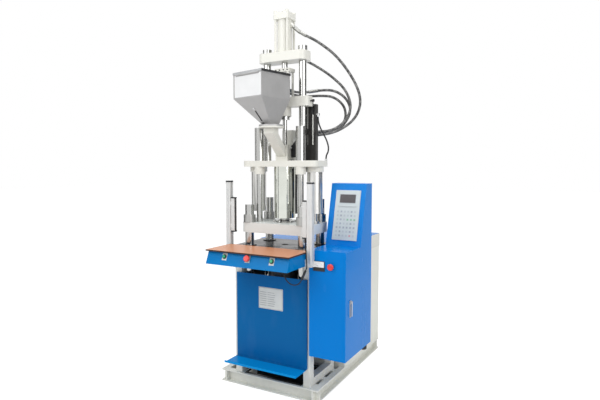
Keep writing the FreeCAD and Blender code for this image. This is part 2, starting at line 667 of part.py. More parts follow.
# ---------------------------------------------------------------- injection frame and carriage
def make_injection_frame():
    base = seat_top
    top = top_plate_top
    end = top + s.column_nut_height
    columns = []
    for x in (-s.column_x, s.column_x):
        columns.append(rod("injection_column", s.column_radius, end - base, (x, 0, base)))
        bore = s.column_radius + s.fit_gap
        columns.append(turned("column_nut", [(bore, 0), (s.column_nut, 0),
                                             (s.column_nut, s.column_nut_height),
                                             (bore, s.column_nut_height)], (x, 0, top)))
    sub_part("injection_columns", group("injection_columns", columns))
    holes = [(x, 0, s.column_radius + s.fit_gap) for x in (-s.column_x, s.column_x)]
    holes.append((0, 0, s.piston_rod + s.fit_gap))
    sub_part("top_plate", plate("top_plate", s.top_half_width, s.top_half_depth, s.top_bottom,
                                s.top_thickness, s.top_round, holes))


def tilted(name, radius, length, at):
    """A cylinder in the plane of X and Z that points right and down."""
    thing = rod(name, radius, length, at, "x")
    bind(thing, "Placement.Rotation.Angle", s.port_tilt)
    return thing


def along_tilt(at, distance):
    """The point a distance along the tilted port from a point."""
    across = Size(math.sin(math.radians(s.port_tilt.number)), "sin(sizes.port_tilt * 1deg)")
    down = Size(math.cos(math.radians(s.port_tilt.number)), "cos(sizes.port_tilt * 1deg)")
    return at[0] + across * distance, at[1], at[2] + down * distance


def make_injection_cylinder():
    base = top_plate_top
    roof = base + s.cylinder_height
    top = roof + s.cylinder_cap
    tube = rod("ram_tube", s.cylinder_radius, s.cylinder_height, (0, 0, base))
    port = tilted("ram_port", s.port_boss, s.port_length, (s.port_start, 0, roof - s.port_drop))
    bore = rod("ram_bore", s.cylinder_radius - s.cylinder_wall, s.cylinder_height, (0, 0, base))
    sub_part("injection_cylinder", cut("injection_cylinder", join("ram_shell", [tube, port]), [bore]))
    holes = [(x, y, s.stay_radius + s.fit_gap) for x, y in four(s.stay_offset, s.stay_offset)]
    slab = plate("head_plate", s.cylinder_cap_half, s.cylinder_cap_half, roof, s.cylinder_cap,
                 s.stay_nut, holes)
    vent = rod("vent_plug", s.vent_radius, s.vent_height, (0, 0, top))
    stays = [join("head_with_vent", [slab, vent])]
    for x, y in four(s.stay_offset, s.stay_offset):
        length = s.cylinder_height + s.cylinder_cap + s.stay_nut
        stay = rod("stay", s.stay_radius, length, (x, y, base))
        nut = rod("stay_nut", s.stay_nut, s.stay_nut, (x, y, top))
        stays.append(join("stay_with_nut", [stay, nut]))
    sub_part("cylinder_head", group("cylinder_head", stays))


def make_carriage():
    low = s.yoke_bottom
    holes = [(x, 0, s.column_radius + s.fit_gap) for x in (-s.column_x, s.column_x)]
    holes.append((0, 0, s.screw_radius + s.seat_gap))
    sub_part("injection_yoke", plate("injection_yoke", s.yoke_half_width, s.yoke_half_depth, low,
                                     s.yoke_thickness, s.yoke_round, holes))
    bore = s.screw_radius + s.seat_gap
    ring = [(bore, 0), (s.bearing_radius, 0), (s.bearing_radius, s.bearing_height),
            (bore, s.bearing_height)]
    bearing = turned("bearing_housing", ring, (0, 0, low - s.bearing_height))
    rods = [rod("cage_rod", s.cage_rod, s.cage_height - s.cage_plate, (x, y, yoke_top))
            for x, y in four(s.cage_x, s.cage_y)]
    edge = s.cage_rod * 2
    roof = plate("cage_plate", s.cage_x + edge, s.cage_y + edge / 2, cage_base - s.cage_plate,
                 s.cage_plate, s.cage_rod)
    sub_part("motor_cage", group("motor_cage", rods + [roof, bearing]))
    half = s.motor_half
    body = block("motor_body", (-half, half), (-half, half), (yoke_top, yoke_top + s.motor_height))
    ports = [rod("motor_port", s.ferrule_radius, s.motor_half + s.port_reach, (x, 0, z), "y")
             for x, z in motor_ports()]
    ends = [rod("motor_ferrule", s.ferrule_radius, s.ferrule_length, (x, half + s.port_reach, z), "y")
            for x, z in motor_ports()]
    sub_part("hydraulic_motor", group("hydraulic_motor", [join("motor_shell", [body] + ports)] + ends))
    piston = top_plate_top + s.injection_stroke + s.injection_back
    inner = s.cylinder_radius - s.cylinder_wall - s.fit_gap
    profile = [(0, cage_base), (s.piston_rod, cage_base), (s.piston_rod, piston), (inner, piston),
               (inner, piston + s.ram_piston), (0, piston + s.ram_piston)]
    sub_part("injection_piston", turned("injection_piston", profile))


def motor_ports():
    """Where the two hoses meet the motor: across, and height."""
    return ((s.motor_port_x, s.motor_port_z + s.motor_port_step), (-s.motor_port_x, s.motor_port_z))


def yoke_knob():
    """The hand screw at the right end of the yoke."""
    stem = rod("knob_stem", s.knob_stem, s.knob_reach + s.knob_length,
               (s.yoke_half_width, 0, s.knob_level), "x")
    tip = s.yoke_half_width + s.knob_reach
    head = rod("knob_head", s.knob_radius, s.knob_length, (tip, 0, s.knob_level), "x")
    return join("yoke_knob", [stem, head])


# ---------------------------------------------------------------- stroke scale
def make_scale():
    left = s.scale_x
    right = left + s.scale_width
    front = s.scale_y
    back = front + s.scale_depth
    low = seat_top + s.scale_box
    top = seat_top + s.scale_height
    base = block("scale_box", (left, right), (front, back), (seat_top, low))
    rail = block("rail_body", (left, right), (front, back), (low, top))
    middle = left + s.scale_width / 2
    tools = []
    rods = []
    for x in (middle - s.scale_pitch / 2, middle + s.scale_pitch / 2):
        half = s.scale_slot / 2
        tools.append(block("rail_slot", (x - half, x + half), (front, back - s.scale_face),
                           (low + s.scale_cap, top - s.scale_cap)))
        rods.append(rod("rail_rod", s.scale_rod, top - low - 2 * s.scale_cap,
                        (x, front + s.scale_depth / 2, low + s.scale_cap)))
    rail = cut("scale_rail", rail, tools)
    half = s.scale_slot / 2 - s.seat_gap
    deep = front + s.scale_depth / 2 + s.scale_rod * 2
    x = middle - s.scale_pitch / 2
    body = block("stop_body", (x - half, x + half), (front - s.pointer_depth, deep),
                 (s.slider_level, s.slider_level + s.slider_height))
    bore = rod("stop_bore", s.scale_rod + s.fit_gap, s.slider_height,
               (x, front + s.scale_depth / 2, s.slider_level))
    stop = cut("scale_stop", body, [bore])
    sub_part("stroke_scale", group("stroke_scale", [base, rail, stop] + rods))
    x = middle + s.scale_pitch / 2
    level = s.yoke_bottom - s.injection_back - s.slider_height
    slide = block("pointer_slide", (x - half, x + half), (s.yoke_half_depth, deep),
                  (level, level + s.slider_height))
    plate_part = block("pointer_plate", (x - half, x + half),
                       (s.yoke_half_depth, s.yoke_half_depth + s.pointer_depth),
                       (level, s.yoke_bottom + s.yoke_thickness / 2))
    bore = rod("pointer_bore", s.scale_rod + s.fit_gap, s.slider_height,
               (x, front + s.scale_depth / 2, level))
    arm = cut("pointer_arm", join("pointer_body", [slide, plate_part]), [bore])
    sub_part("scale_pointer", group("scale_pointer", [arm, yoke_knob()]))


# ---------------------------------------------------------------- sheet housings
def housing(name, x, outer, inner):
    """A sheet housing: one section in Y and Z, hollow inside, between two X values."""
    shell = pad(name + "_shell", "YZ_Plane", size(x[1]) - x[0], [outer], at=(x[0], 0, 0))
    room = pad(name + "_inside", "YZ_Plane", size(x[1]) - x[0] - 2 * s.sheet, [inner],
               at=(size(x[0]) + s.sheet, 0, 0))
    return cut(name, shell, [room])


def slope(rise, run):
    """The angle in degrees of a rise over a run."""
    ratio = size(rise) / run
    return Size(math.degrees(math.atan(ratio.number)), f"atan({ratio.formula})")


def lean(thing, angle, x, y, z):
    """Tips a piece drawn along Z towards the front by an angle from upright."""
    thing.Placement = Placement(Vector(), Rotation(Vector(1, 0, 0), 45))
    bind(thing, "Placement.Rotation.Angle", angle)
    return put(thing, x, y, z)


def bezel(name, base):
    """A button's ring and threaded barrel; the ring seats at a height above the face."""
    bore = s.button_radius + s.fit_gap
    low = base - s.button_depth
    high = base + s.bezel_height
    profile = [(bore, low), (s.button_barrel, low), (s.button_barrel, base), (s.bezel_radius, base),
               (s.bezel_radius, high), (bore, high)]
    return turned(name, profile)


def start_button(name, base):
    high = base + s.bezel_height + s.button_proud
    low = base - s.button_depth + s.button_travel + s.seat_gap
    return turned(name, [(0, low), (s.button_radius, low), (s.button_radius, high), (0, high)])


def mushroom(name, base):
    low = base - s.button_depth + s.button_travel + s.seat_gap
    neck = base + s.bezel_height + s.button_travel + s.seat_gap
    high = neck + s.mushroom_height
    rim = s.mushroom_radius
    profile = [(0, low), (s.button_radius, low), (s.button_radius, neck), (rim, neck),
               (rim, high - s.mushroom_height / 2), (s.mushroom_crown, high), (0, high)]
    return turned(name, profile)


def make_control_box():
    box = (-s.box_half_width, s.box_half_width)
    rear = -s.bed_half_depth
    step = s.inner_set
    outer = [(-s.box_front_low, s.box_bottom), (rear, s.box_bottom), (rear, s.box_top),
             (-s.box_front_top, s.box_top)]
    inner = [(step - s.box_front_low, s.box_bottom + s.sheet), (rear - s.sheet, s.box_bottom + s.sheet),
             (rear - s.sheet, s.box_top - s.sheet), (step - s.box_front_top, s.box_top - s.sheet)]
    shell = housing("box_housing", box, outer, inner)
    rise = s.box_top - s.box_bottom
    run = s.box_front_low - s.box_front_top
    angle = slope(rise, run)
    face = run * ((s.button_level - s.box_bottom) / rise) - s.box_front_low
    places = [("left", s.button_middle - s.button_pitch), ("stop", s.button_middle),
              ("right", s.button_middle + s.button_pitch)]
    holes = []
    bezels = []
    labels = []
    switches = []
    seat = s.label_thickness
    for name, x in places:
        spot = (x, face, s.button_level)
        tool = turned("button_bore", [(0, -s.button_depth), (s.button_barrel + s.fit_gap, -s.button_depth),
                                      (s.button_barrel + s.fit_gap, s.button_depth), (0, s.button_depth)])
        holes.append(lean(tool, angle, *spot))
        bezels.append(lean(bezel("bezel", seat), angle, *spot))
        hub = s.button_barrel + s.fit_gap
        label = pad("label", "XY_Plane", s.label_thickness,
                    [rectangle(s.label_half_width, s.label_half_height)], [(0, 0, hub)])
        labels.append(lean(label, angle, *spot))
        half = s.switch_half
        deep = seat - s.button_depth
        switch = pad("switch", "XY_Plane", s.switch_depth, [rectangle(half, half)])
        back = s.switch_depth - deep
        switches.append(lean(switch, angle, x, face + back * cosine(rise, run),
                             s.button_level - back * cosine(run, rise)))
        node = "button_stop" if name == "stop" else f"button_{name}"
        piece = mushroom(node, seat) if name == "stop" else start_button(node, seat)
        sub_part(node, lean(piece, angle, *spot))
    sub_part("control_box", cut("control_box", shell, holes))
    data_plate = block("data_plate", (-s.plate_left, s.plate_width - s.plate_left),
                       (-s.panel_front - s.label_thickness, -s.panel_front),
                       (s.plate_z, s.plate_z + s.plate_height))
    sub_part("label_plates", group("label_plates", labels + [data_plate]))
    sub_part("panel_fittings", group("panel_fittings", bezels + cabinet_fittings()))
    sub_part("switchgear", group("switchgear", switches + switchgear()))
    sub_part("work_board", block("work_board", (-s.board_half_width, s.board_half_width),
                                 (-s.board_front, -s.board_back),
                                 (s.box_top, s.box_top + s.board_thickness)))


def cosine(near, far):
    """Cosine of the angle whose adjacent and opposite sides are given."""
    a = size(near)
    b = size(far)
    long = math.hypot(a.number, b.number)
    return Size(a.number / long, f"({a.formula} / sqrt({a.formula} ^ 2 + {b.formula} ^ 2))")


def make_front_panel():
    face = -s.panel_front
    t = s.sheet
    low = s.panel_bottom
    outline = [(face, low), (face, s.panel_top), (face + t, s.panel_top), (face + t, low - t),
               (-s.tray_front, low - t), (-s.tray_front, low + s.tray_lip),
               (t - s.tray_front, low + s.tray_lip), (t - s.tray_front, low)]
    wide = s.panel_half_width
    sheet_part = pad("panel_sheet", "YZ_Plane", 2 * wide, [outline], at=(-wide, 0, 0))
    legs_front = -s.leg_y - s.leg_side / 2
    sides = [block("panel_side", (x, x + t), (face + t, legs_front), (low, s.panel_top))
             for x in (-wide, wide - t)]
    sub_part("front_panel", join("front_panel", [sheet_part] + sides))


def make_cabinet():
    left = s.cabinet_left
    edge = s.cabinet_right - s.door_depth
    front = -s.cabinet_front
    back = s.cabinet_back
    low = s.cabinet_bottom
    top = s.cabinet_top
    t = s.sheet
    body = block("cabinet_body", (left, edge - s.door_seam), (front, back), (low, top))
    room = block("cabinet_room", (left + t, edge), (front + t, back - t), (low + t, top - t))
    barrel = s.button_barrel + s.fit_gap
    hole = rod("stop_hole", barrel, s.button_depth, (s.cabinet_stop_x, front, s.cabinet_stop_z), "y")
    case = cut("cabinet_case", body, [room, hole])
    leaf = block("door_body", (edge, s.cabinet_right), (front, back), (low, top))
    inside = block("door_room", (edge, s.cabinet_right - t), (front + t, back - t), (low + t, top - t))
    door = cut("door_leaf", leaf, [inside])
    hinges = []
    axis_x = edge - s.door_seam / 2
    for z in (low + s.hinge_inset, top - s.hinge_inset - s.hinge_length):
        flap = block("door_flap", (edge - s.door_seam - s.handle_width, edge - s.door_seam),
                     (back, back + t), (z, z + s.hinge_length))
        pin = rod("door_pin", s.hinge_barrel, s.hinge_length, (axis_x, back + s.door_swing, z))
        hinges.append(join("door_hinge", [flap, pin]))
    sub_part("cabinet", group("cabinet", [case] + hinges))
    right = s.cabinet_right
    half = s.handle_width / 2
    high = s.handle_z + s.handle_length
    ear = s.handle_ear
    pin_x = right + s.handle_base + s.handle_lever / 2
    pin_z = high - s.handle_base
    base = block("handle_plate", (right, right + s.handle_base), (-s.handle_y - half, half - s.handle_y),
                 (s.handle_z, high))
    ears = [block("handle_ear", (right, right + s.handle_base + s.handle_lever), (y, y + ear),
                  (high - 2 * s.handle_base, high)) for y in (-s.handle_y - half, half - s.handle_y - ear)]
    pin = rod("handle_pin", s.handle_pin, s.handle_width, (pin_x, -s.handle_y - half, pin_z), "y")
    handle = join("handle_base", [base] + ears + [pin])
    sub_part("cabinet_door", group("cabinet_door", [door, handle]))
    slim = half - ear - s.seat_gap
    inner = right + s.handle_base + s.lever_gap
    outer = right + s.handle_base + s.handle_lever
    tall = pin_z + s.handle_pin + s.lever_top
    lever = block("lever_body", (inner, outer), (-s.handle_y - slim, slim - s.handle_y),
                  (s.handle_z + ear, tall))
    bore = rod("lever_bore", s.handle_pin + s.fit_gap, s.handle_width,
               (pin_x, -s.handle_y - half, pin_z), "y")
    sub_part("handle_lever", cut("handle_lever", lever, [bore]))
    spot = (s.cabinet_stop_x, front, s.cabinet_stop_z)
    sub_part("cabinet_stop", stand_out(mushroom("cabinet_stop", 0), *spot))


def cabinet_fittings():
    """The meter and the ring of the stop button on the front of the cabinet."""
    front = -s.cabinet_front
    x = s.meter_x
    z = s.meter_z
    rim = s.meter_rim
    frame = block("meter_frame", (x, x + s.meter_width), (front - s.meter_depth, front),
                  (z, z + s.meter_height))
    glass = block("meter_glass", (x + rim, x + s.meter_width - rim),
                  (front - s.meter_depth, front - s.meter_depth + s.sheet),
                  (z + s.meter_skirt, z + s.meter_height - rim))
    ring = stand_out(bezel("cabinet_stop_ring", 0), s.cabinet_stop_x, front, s.cabinet_stop_z)
    return [cut("meter", frame, [glass]), ring]


def stand_out(thing, x, y, z):
    """Turns a piece drawn along Z to point out of the front."""
    thing.Placement = Placement(Vector(), Rotation(Vector(1, 0, 0), 90))
    return put(thing, x, y, z)


def switchgear():
    """A mounting plate on four feet in the cabinet, with rows of gear."""
    left = s.cabinet_left + s.sheet
    front = s.sheet - s.cabinet_front
    back = s.cabinet_back - s.sheet
    low = s.cabinet_bottom + s.sheet
    top = s.cabinet_top - s.sheet
    inset = s.rail_inset
    sheet_x = left + s.rail_stand
    board = block("gear_board", (sheet_x, sheet_x + s.sheet), (front + inset, back - inset),
                  (low + inset, top - inset))
    feet = [block("gear_foot", (left, sheet_x), (y, y + s.rail_stand), (z, z + s.rail_stand))
            for y in (front + inset, back - inset - s.rail_stand)
            for z in (low + inset, top - inset - s.rail_stand)]
    gear = [join("mounting_plate", [board] + feet)]
    face = sheet_x + s.sheet
    for row in range(3):
        z = low + 2 * inset + row * s.gear_side * 2
        for column in range(3):
            y = front + inset + s.rail_stand + column * (s.gear_side + s.gear_step)
            gear.append(block("gear", (face, face + s.gear_depth), (y, y + s.gear_side),
                              (z, z + s.gear_height)))
    return gear


def make_console():
    left = s.cabinet_left
    right = s.cabinet_right
    low = s.cabinet_top
    top = s.console_top
    t = s.sheet
    outer = [(s.console_foot, low), (s.cabinet_back, low), (s.cabinet_back, top), (s.console_brow, top)]
    inner = [(s.console_foot + s.inner_set, low + t), (s.cabinet_back - t, low + t),
             (s.cabinet_back - t, top - t), (s.console_brow + s.inner_set, top - t)]
    sub_part("console", housing("console", (left, right), outer, inner))
    rise = top - low
    run = s.console_brow - s.console_foot
    angle = slope(rise, run)
    up = cosine(rise, run)
    back = cosine(run, rise)
    middle = (left + right) / 2

    def on_face(thing, distance, height):
        """Lays a piece on the sloping face, a distance up from its foot."""
        return lean(thing, angle, middle, s.console_foot + back * distance - up * height,
                    low + up * distance + back * height)

    half = s.keypad_height / 2
    pad_part = pad("key_plate", "XY_Plane", s.keypad_thickness, [rectangle(s.keypad_width / 2, half)])
    round_off(pad_part, s.keypad_round, upright)
    pieces = [on_face(pad_part, s.keypad_rise + half, 0)]
    screen = pad("keypad_screen", "XY_Plane", s.key_proud,
                 [rectangle(s.screen_width / 2, s.screen_height / 2)])
    high = s.keypad_rise + s.keypad_height - s.screen_drop - s.screen_height / 2
    pieces.append(on_face(screen, high, s.keypad_thickness))
    loops = []
    key = s.key_side / 2
    rows = int(s.key_rows.number)
    columns = int(s.key_columns.number)
    for column in range(columns):
        x = (column - (columns - 1) / 2) * s.key_pitch
        loops += [[(x - key, z - key), (x + key, z - key), (x + key, z + key), (x - key, z + key)]
                  for z in [row * s.key_pitch for row in range(rows)]]
    keys = pad("keypad_keys", "XY_Plane", s.key_proud, loops)
    pieces.append(on_face(keys, s.keypad_rise + s.key_rise, s.keypad_thickness))
    sub_part("keypad", group("keypad", pieces))


# ---------------------------------------------------------------- light curtain
def make_curtain():
    half = s.post_side / 2
    thick = s.curtain_side / 2
    inner = s.post_x - half
    centre = inner - s.curtain_gap - thick
    low = s.curtain_bottom
    top = low + s.curtain_length
    posts = []
    bars = []
    for way, y, seat in ((-1, -s.post_left_y, s.bed_half_width), (1, -s.post_right_y, s.box_half_width)):
        x = way * s.post_x
        posts.append(block("curtain_post", (x - half, x + half), (y - half, y + half),
                           (s.post_bottom, s.post_top)))
        spans = ((seat, inner), (centre + thick, inner))
        foot, clip = spans if way > 0 else [(-b, -a) for a, b in spans]
        posts.append(block("post_foot", foot, (y - half, y + half),
                           (s.box_bottom + s.foot_inset, s.bed_bottom + s.leg_side)))
        for z in (low + s.clip_inset, top - s.clip_inset - s.clip_height):
            posts.append(block("curtain_clip", clip, (y - thick, y + thick), (z, z + s.clip_height)))
        x = way * centre
        across = (x - thick, x + thick)
        deep = (y - thick, y + thick)
        bars.append(block("light_curtain", across, deep, (low + s.curtain_cap, top - s.curtain_cap)))
        bars += [block("curtain_cap", across, deep, (z, z + s.curtain_cap))
                 for z in (low, top - s.curtain_cap)]
    sub_part("curtain_posts", group("curtain_posts", posts))
    sub_part("light_curtains", group("light_curtains", bars))


# ---------------------------------------------------------------- tank housing and power pack
def make_tank():
    wide = s.tank_half_width
    t = s.tank_sheet
    front = s.tank_front
    back = s.tank_back
    floor = s.channel_height
    outer = block("housing_outer", (-wide, wide), (front, back), (floor, s.tank_top))
    inner = block("housing_inner", (t - wide, wide - t), (front + t, back - t), (floor, s.tank_top))
    sub_part("tank_housing", cut("tank_housing", outer, [inner]))
    over = s.lid_overlap
    skirt = s.tank_top - s.lid_skirt
    lid = block("lid_outer", (-wide - over, wide + over), (front - over, back + over), (skirt, s.lid_top))
    gap = s.seat_gap
    low = block("lid_inner", (-wide - gap, wide + gap), (front - gap, back + gap), (skirt, s.tank_top))
    high = block("lid_hollow", (t - wide, wide - t), (front + t, back - t), (s.tank_top, s.lid_top - t))
    sub_part("tank_lid", cut("tank_lid", lid, [low, high]))
    inset = s.oil_inset
    oil_top = floor + s.oil_height
    oil_tank = block("oil_tank", (inset - wide, wide - inset), (front + inset, back - inset),
                     (floor, oil_top))
    middle = (front + back) / 2
    axis = oil_top + s.motor_feet + s.motor_radius
    stator = rod("stator", s.motor_radius, s.motor_length, (-s.motor_length / 2, middle, axis), "x")
    feet = block("motor_foot", (-s.motor_foot_half, s.motor_foot_half),
                 (middle - s.motor_foot_depth, middle + s.motor_foot_depth),
                 (oil_top, axis - s.motor_radius / 2))
    motor = join("pump_motor", [stator, feet])
    pump = rod("pump", s.pump_radius, s.pump_length, (s.motor_length / 2, middle, axis), "x")
    sub_part("power_pack", group("power_pack", [oil_tank, motor, pump]))


# ---------------------------------------------------------------- manifold, hoses and cables
def cord(name, radius, points):
    """A round tube along straight runs joined by tangent arcs, each as large as its runs allow."""
    points = [Vector(*(size(c).number for c in p)) for p in points]
    edges = []
    last = points[0]
    radii = []
    for before, here, after in zip(points, points[1:], points[2:]):
        back = (before - here).normalize()
        ahead = (after - here).normalize()
        turn = math.pi - back.getAngle(ahead)
        run = 0.45 * min((before - here).Length, (after - here).Length)
        bend = run / math.tan(turn / 2)
        start = here + back * run
        stop = here + ahead * run
        centre = here + (back + ahead).normalize() * (bend / math.cos(turn / 2))
        middle = centre + (here - centre).normalize() * bend
        edges.append(Part.LineSegment(last, start).toShape())
        edges.append(Part.Arc(start, middle, stop).toShape())
        radii.append(bend)
        last = stop
    edges.append(Part.LineSegment(last, points[-1]).toShape())
    path = Part.Wire(edges)
    ring = Part.Wire([Part.Circle(points[0], points[1] - points[0], radius.number).toShape()])
    thing = doc.addObject("Part::Feature", name)
    thing.Shape = path.makePipeShell([ring], True, False)
    true = math.pi * radius.number ** 2 * path.Length
    print(f"{name}: radii {[round(r) for r in radii]}, volume/section x length "
          f"{thing.Shape.Volume / true:.4f}")
    return thing


def make_hoses():
    right = s.manifold_right
    body = block("manifold_body", (s.manifold_left, right), (s.manifold_front, s.manifold_back),
                 (seat_top, seat_top + s.manifold_height))
    sub_part("hose_manifold", body)
    length = s.ferrule_length
    end = right + length
    fitted = []
    for y, z in ((s.port_front, s.port_top), (s.port_front, s.port_low),
                 (s.port_back, s.port_middle), (s.port_third, s.port_top)):
        fitted.append(rod("ferrule", s.ferrule_radius, length, (right, y, z), "x"))
    port = along_tilt((s.port_start, 0, top_plate_top + s.cylinder_height - s.port_drop), s.port_length)
    fitted.append(tilted("ferrule", s.ferrule_radius, length, port))
    side = (s.plate_port_x, s.top_half_depth, s.plate_port_z)
    fitted.append(rod("ferrule", s.ferrule_radius, length, side, "y"))
    fitted += cable_glands()
    sub_part("hose_ferrules", group("hose_ferrules", fitted))
    motor_y = s.motor_half + s.port_reach
    radius = s.hose_radius
    upper = cord("ram_hose_top", radius, [
        along_tilt(port, length), along_tilt(port, s.hose_lead), (226, 49, 2318), (343, 151, 2210),
        (444, 276, 1994), (406, 307, 1842), (295, 214, 1733), (153, s.port_front, s.port_low),
        (end, s.port_front, s.port_low)])
    lower = cord("ram_hose_low", radius, [
        (s.plate_port_x, s.top_half_depth + length, s.plate_port_z), (s.plate_port_x, 166, s.plate_port_z),
        (112, 228, 2205), (213, 273, 2134), (326, 298, 2024), (358, 320, 1885), (274, 249, 1751),
        (156, s.port_front, s.port_top), (end, s.port_front, s.port_top)])
    sub_part("ram_hoses", group("ram_hoses", [upper, lower]))
    (x1, z1), (x2, z2) = motor_ports()
    start = motor_y + length
    inlet = cord("motor_hose_in", radius, [
        (x1, start, z1), (x1, 144, z1), (55, 208, 2020), (150, 243, 2034), (246, 276, 2030),
        (316, 332, 1970), (341, 346, 1876), (279, 286, 1752), (162, s.port_back, s.port_middle),
        (end, s.port_back, s.port_middle)])
    outlet = cord("motor_hose_out", radius, [
        (x2, start, z2), (x2, 150, z2), (30, 216, 1993), (140, 262, 1998), (222, 304, 1992),
        (288, 352, 1926), (294, 356, 1824), (250, 294, 1756), (168, s.port_third, s.port_top),
        (end, s.port_third, s.port_top)])
    sub_part("motor_hoses", group("motor_hoses", [inlet, outlet]))


def make_cables():
    edge = s.post_x - s.post_side / 2 - s.curtain_gap - s.curtain_side / 2
    y = -s.post_right_y
    low = s.curtain_bottom
    plug_low = low - s.plug_length
    plug = rod("curtain_plug", s.plug_radius, s.plug_length, (edge, y, plug_low))
    joint_top = (314, -292, 866)
    joint_low = (287, -292, 810)
    upper = cord("cable_upper", s.cable_radius, [
        (edge, y, plug_low), (edge, y, 1004), (312, -279, 981), (320, -292, 948), (322, -292, 915),
        (324, -292, 886.74), joint_top])
    connector = cord("cable_connector", s.joint_radius, [joint_top, joint_low])
    gland_low = s.box_bottom - s.gland_height
    lower = cord("cable_lower", s.cable_radius, [
        joint_low, (276, -292, 787.19), (252, -292, 772), (220, -292, 769), (190, -292, 783),
        (168, -292, 810), (160, -292, 845), (160, -292, gland_low)])
    gland = rod("box_gland", s.gland_radius, s.gland_height, (160, -292, gland_low))
    sub_part("curtain_cable", group("curtain_cable", [upper, lower]))
    sub_part("cable_plugs", group("cable_plugs", [plug, connector, gland]))


def loom_places():
    """Where the cables on the seat run: level of the feed block's gland, and the scale's."""
    return seat_top + s.feed_height - s.gland_radius * 2, seat_top + s.scale_gland


def cable_glands():
    level, high = loom_places()
    x = s.loom_x
    y = -s.loom_y
    tall = s.gland_height
    around = s.gland_radius
    middle = s.scale_y + s.scale_depth / 2
    side = s.scale_x + s.scale_width
    drop = (side + around, middle, high - around - s.elbow_drop)
    return [rod("loom_gland", around, tall, (x, y, s.seat_bottom - tall)),
            rod("loom_gland", around, tall, (x, y, seat_top)),
            rod("loom_gland", around, tall, (s.feed_half, y, level), "x"),
            join("scale_elbow", [rod("scale_gland", around, 2 * around, (side, middle, high), "x"),
                                 rod("scale_drop", s.elbow_radius, around + s.elbow_drop, drop)]),
            rod("scale_gland", around, tall, (s.scale_cable_x, middle, seat_top))]


def make_looms():
    level, high = loom_places()
    x = s.loom_x
    y = -s.loom_y
    lower = cord("loom_lower", s.loom_radius, [(x, y, s.seat_bottom - s.gland_height), (x, y, 1390),
                                               (x - 3, y + 2, 1290), (x, y, s.loom_low)])
    upper = cord("loom_upper", s.sensor_cable, [
        (s.feed_half + s.gland_height, y, level), (x - 18, y, level), (x - 2, y, level - 18),
        (x, y, level - 44), (x, y, seat_top + s.gland_height)])
    middle = s.scale_y + s.scale_depth / 2
    end = s.scale_cable_x
    start = s.scale_x + s.scale_width + s.gland_radius
    thin = cord("scale_cable", s.scale_cable, [
        (start, middle, high - s.gland_radius - s.elbow_drop), (start, middle, 1794), (241, middle, 1738),
        (274, middle, 1684), (292, middle, 1636), (292, middle, 1598), (end, middle, 1572),
        (end, middle, seat_top + s.gland_height)])
    sub_part("looms", group("looms", [lower, upper, thin]))


for make in (make_base, make_frame, make_bed, make_clamp, make_clamp_cylinder, make_seat,
             make_lift_cylinders, make_barrel, make_screw, make_feed, make_chute, make_hopper,
             make_injection_frame, make_injection_cylinder, make_carriage, make_scale,
             make_control_box, make_front_panel, make_cabinet, make_console, make_curtain,
             make_tank, make_hoses, make_cables, make_looms):
    make()

doc.recompute()
bad = [f"{thing.Name} {thing.State}" for thing in doc.Objects
       if "Invalid" in thing.State or "Error" in thing.State]
bad += [f"{name} shape" for name, thing in PARTS.items()
        if thing.Shape.isNull() or not thing.Shape.isValid() or not thing.Shape.Solids]
if bad:
    raise RuntimeError("not built: " + ", ".join(bad))
os.makedirs("parts", exist_ok=True)
for name, thing in PARTS.items():
    thing.Shape.exportStep(f"parts/{name}.step")
print(len(PARTS), "parts written")
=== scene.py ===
# %% [markdown]
# # An upright injection moulding machine, dressed for its picture
# The solids come from the engineering model, so every size is already right. What is left
# for Blender is what a drawing leaves out: paint, chrome, rubber, screws and small trim.
# Everything is measured in metres, in the same frame as the solids. The machine stands on the
# floor at z = 0, its operator's side faces -y, and x runs to the right.

# %% Load the machine
import math
import bmesh
import bpy
from mathutils import Matrix, Vector


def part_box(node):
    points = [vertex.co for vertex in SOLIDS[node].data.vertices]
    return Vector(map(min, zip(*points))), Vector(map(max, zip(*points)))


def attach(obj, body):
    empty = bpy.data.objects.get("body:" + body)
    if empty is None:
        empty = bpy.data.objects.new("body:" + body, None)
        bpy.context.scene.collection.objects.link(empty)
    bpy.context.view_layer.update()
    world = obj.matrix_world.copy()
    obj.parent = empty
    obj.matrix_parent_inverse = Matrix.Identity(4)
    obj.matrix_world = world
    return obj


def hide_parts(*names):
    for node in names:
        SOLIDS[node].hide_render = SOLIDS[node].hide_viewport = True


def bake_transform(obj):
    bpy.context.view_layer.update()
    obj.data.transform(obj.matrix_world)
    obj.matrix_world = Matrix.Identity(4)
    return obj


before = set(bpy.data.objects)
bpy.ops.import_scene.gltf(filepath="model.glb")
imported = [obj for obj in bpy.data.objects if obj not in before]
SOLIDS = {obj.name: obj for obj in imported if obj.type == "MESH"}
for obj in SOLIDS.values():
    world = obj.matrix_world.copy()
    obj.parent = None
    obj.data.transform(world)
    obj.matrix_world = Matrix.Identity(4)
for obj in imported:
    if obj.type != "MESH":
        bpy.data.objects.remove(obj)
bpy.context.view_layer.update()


# %% [markdown]
# ## The camera
# The photograph was taken from the front right, 1.5 m above the floor, and tilted down by less
# than four degrees. The camera could be placed by eye, but here its place was worked out from
# the slopes of the board's and the cabinet's edges. The lens is in millimetres and the angles
# are in degrees.

# %% Stand the camera
SENSOR_WIDTH = 36
FOCAL_LENGTH = 29.807
CAMERA_PLACE = (1.7143, -2.9222, 1.5)
CAMERA_DIP = 3.870
CAMERA_TURN = 28.669


def placed(name, data):
    thing = bpy.data.objects.new(name, data)
    bpy.context.scene.collection.objects.link(thing)
    return thing


lens = bpy.data.cameras.new("camera")
lens.sensor_width = SENSOR_WIDTH
lens.lens = FOCAL_LENGTH
camera = placed("camera", lens)
camera.location = CAMERA_PLACE
camera.rotation_euler = (math.radians(90 - CAMERA_DIP), 0, math.radians(CAMERA_TURN))
bpy.context.scene.camera = camera
print("camera stands at", CAMERA_PLACE)

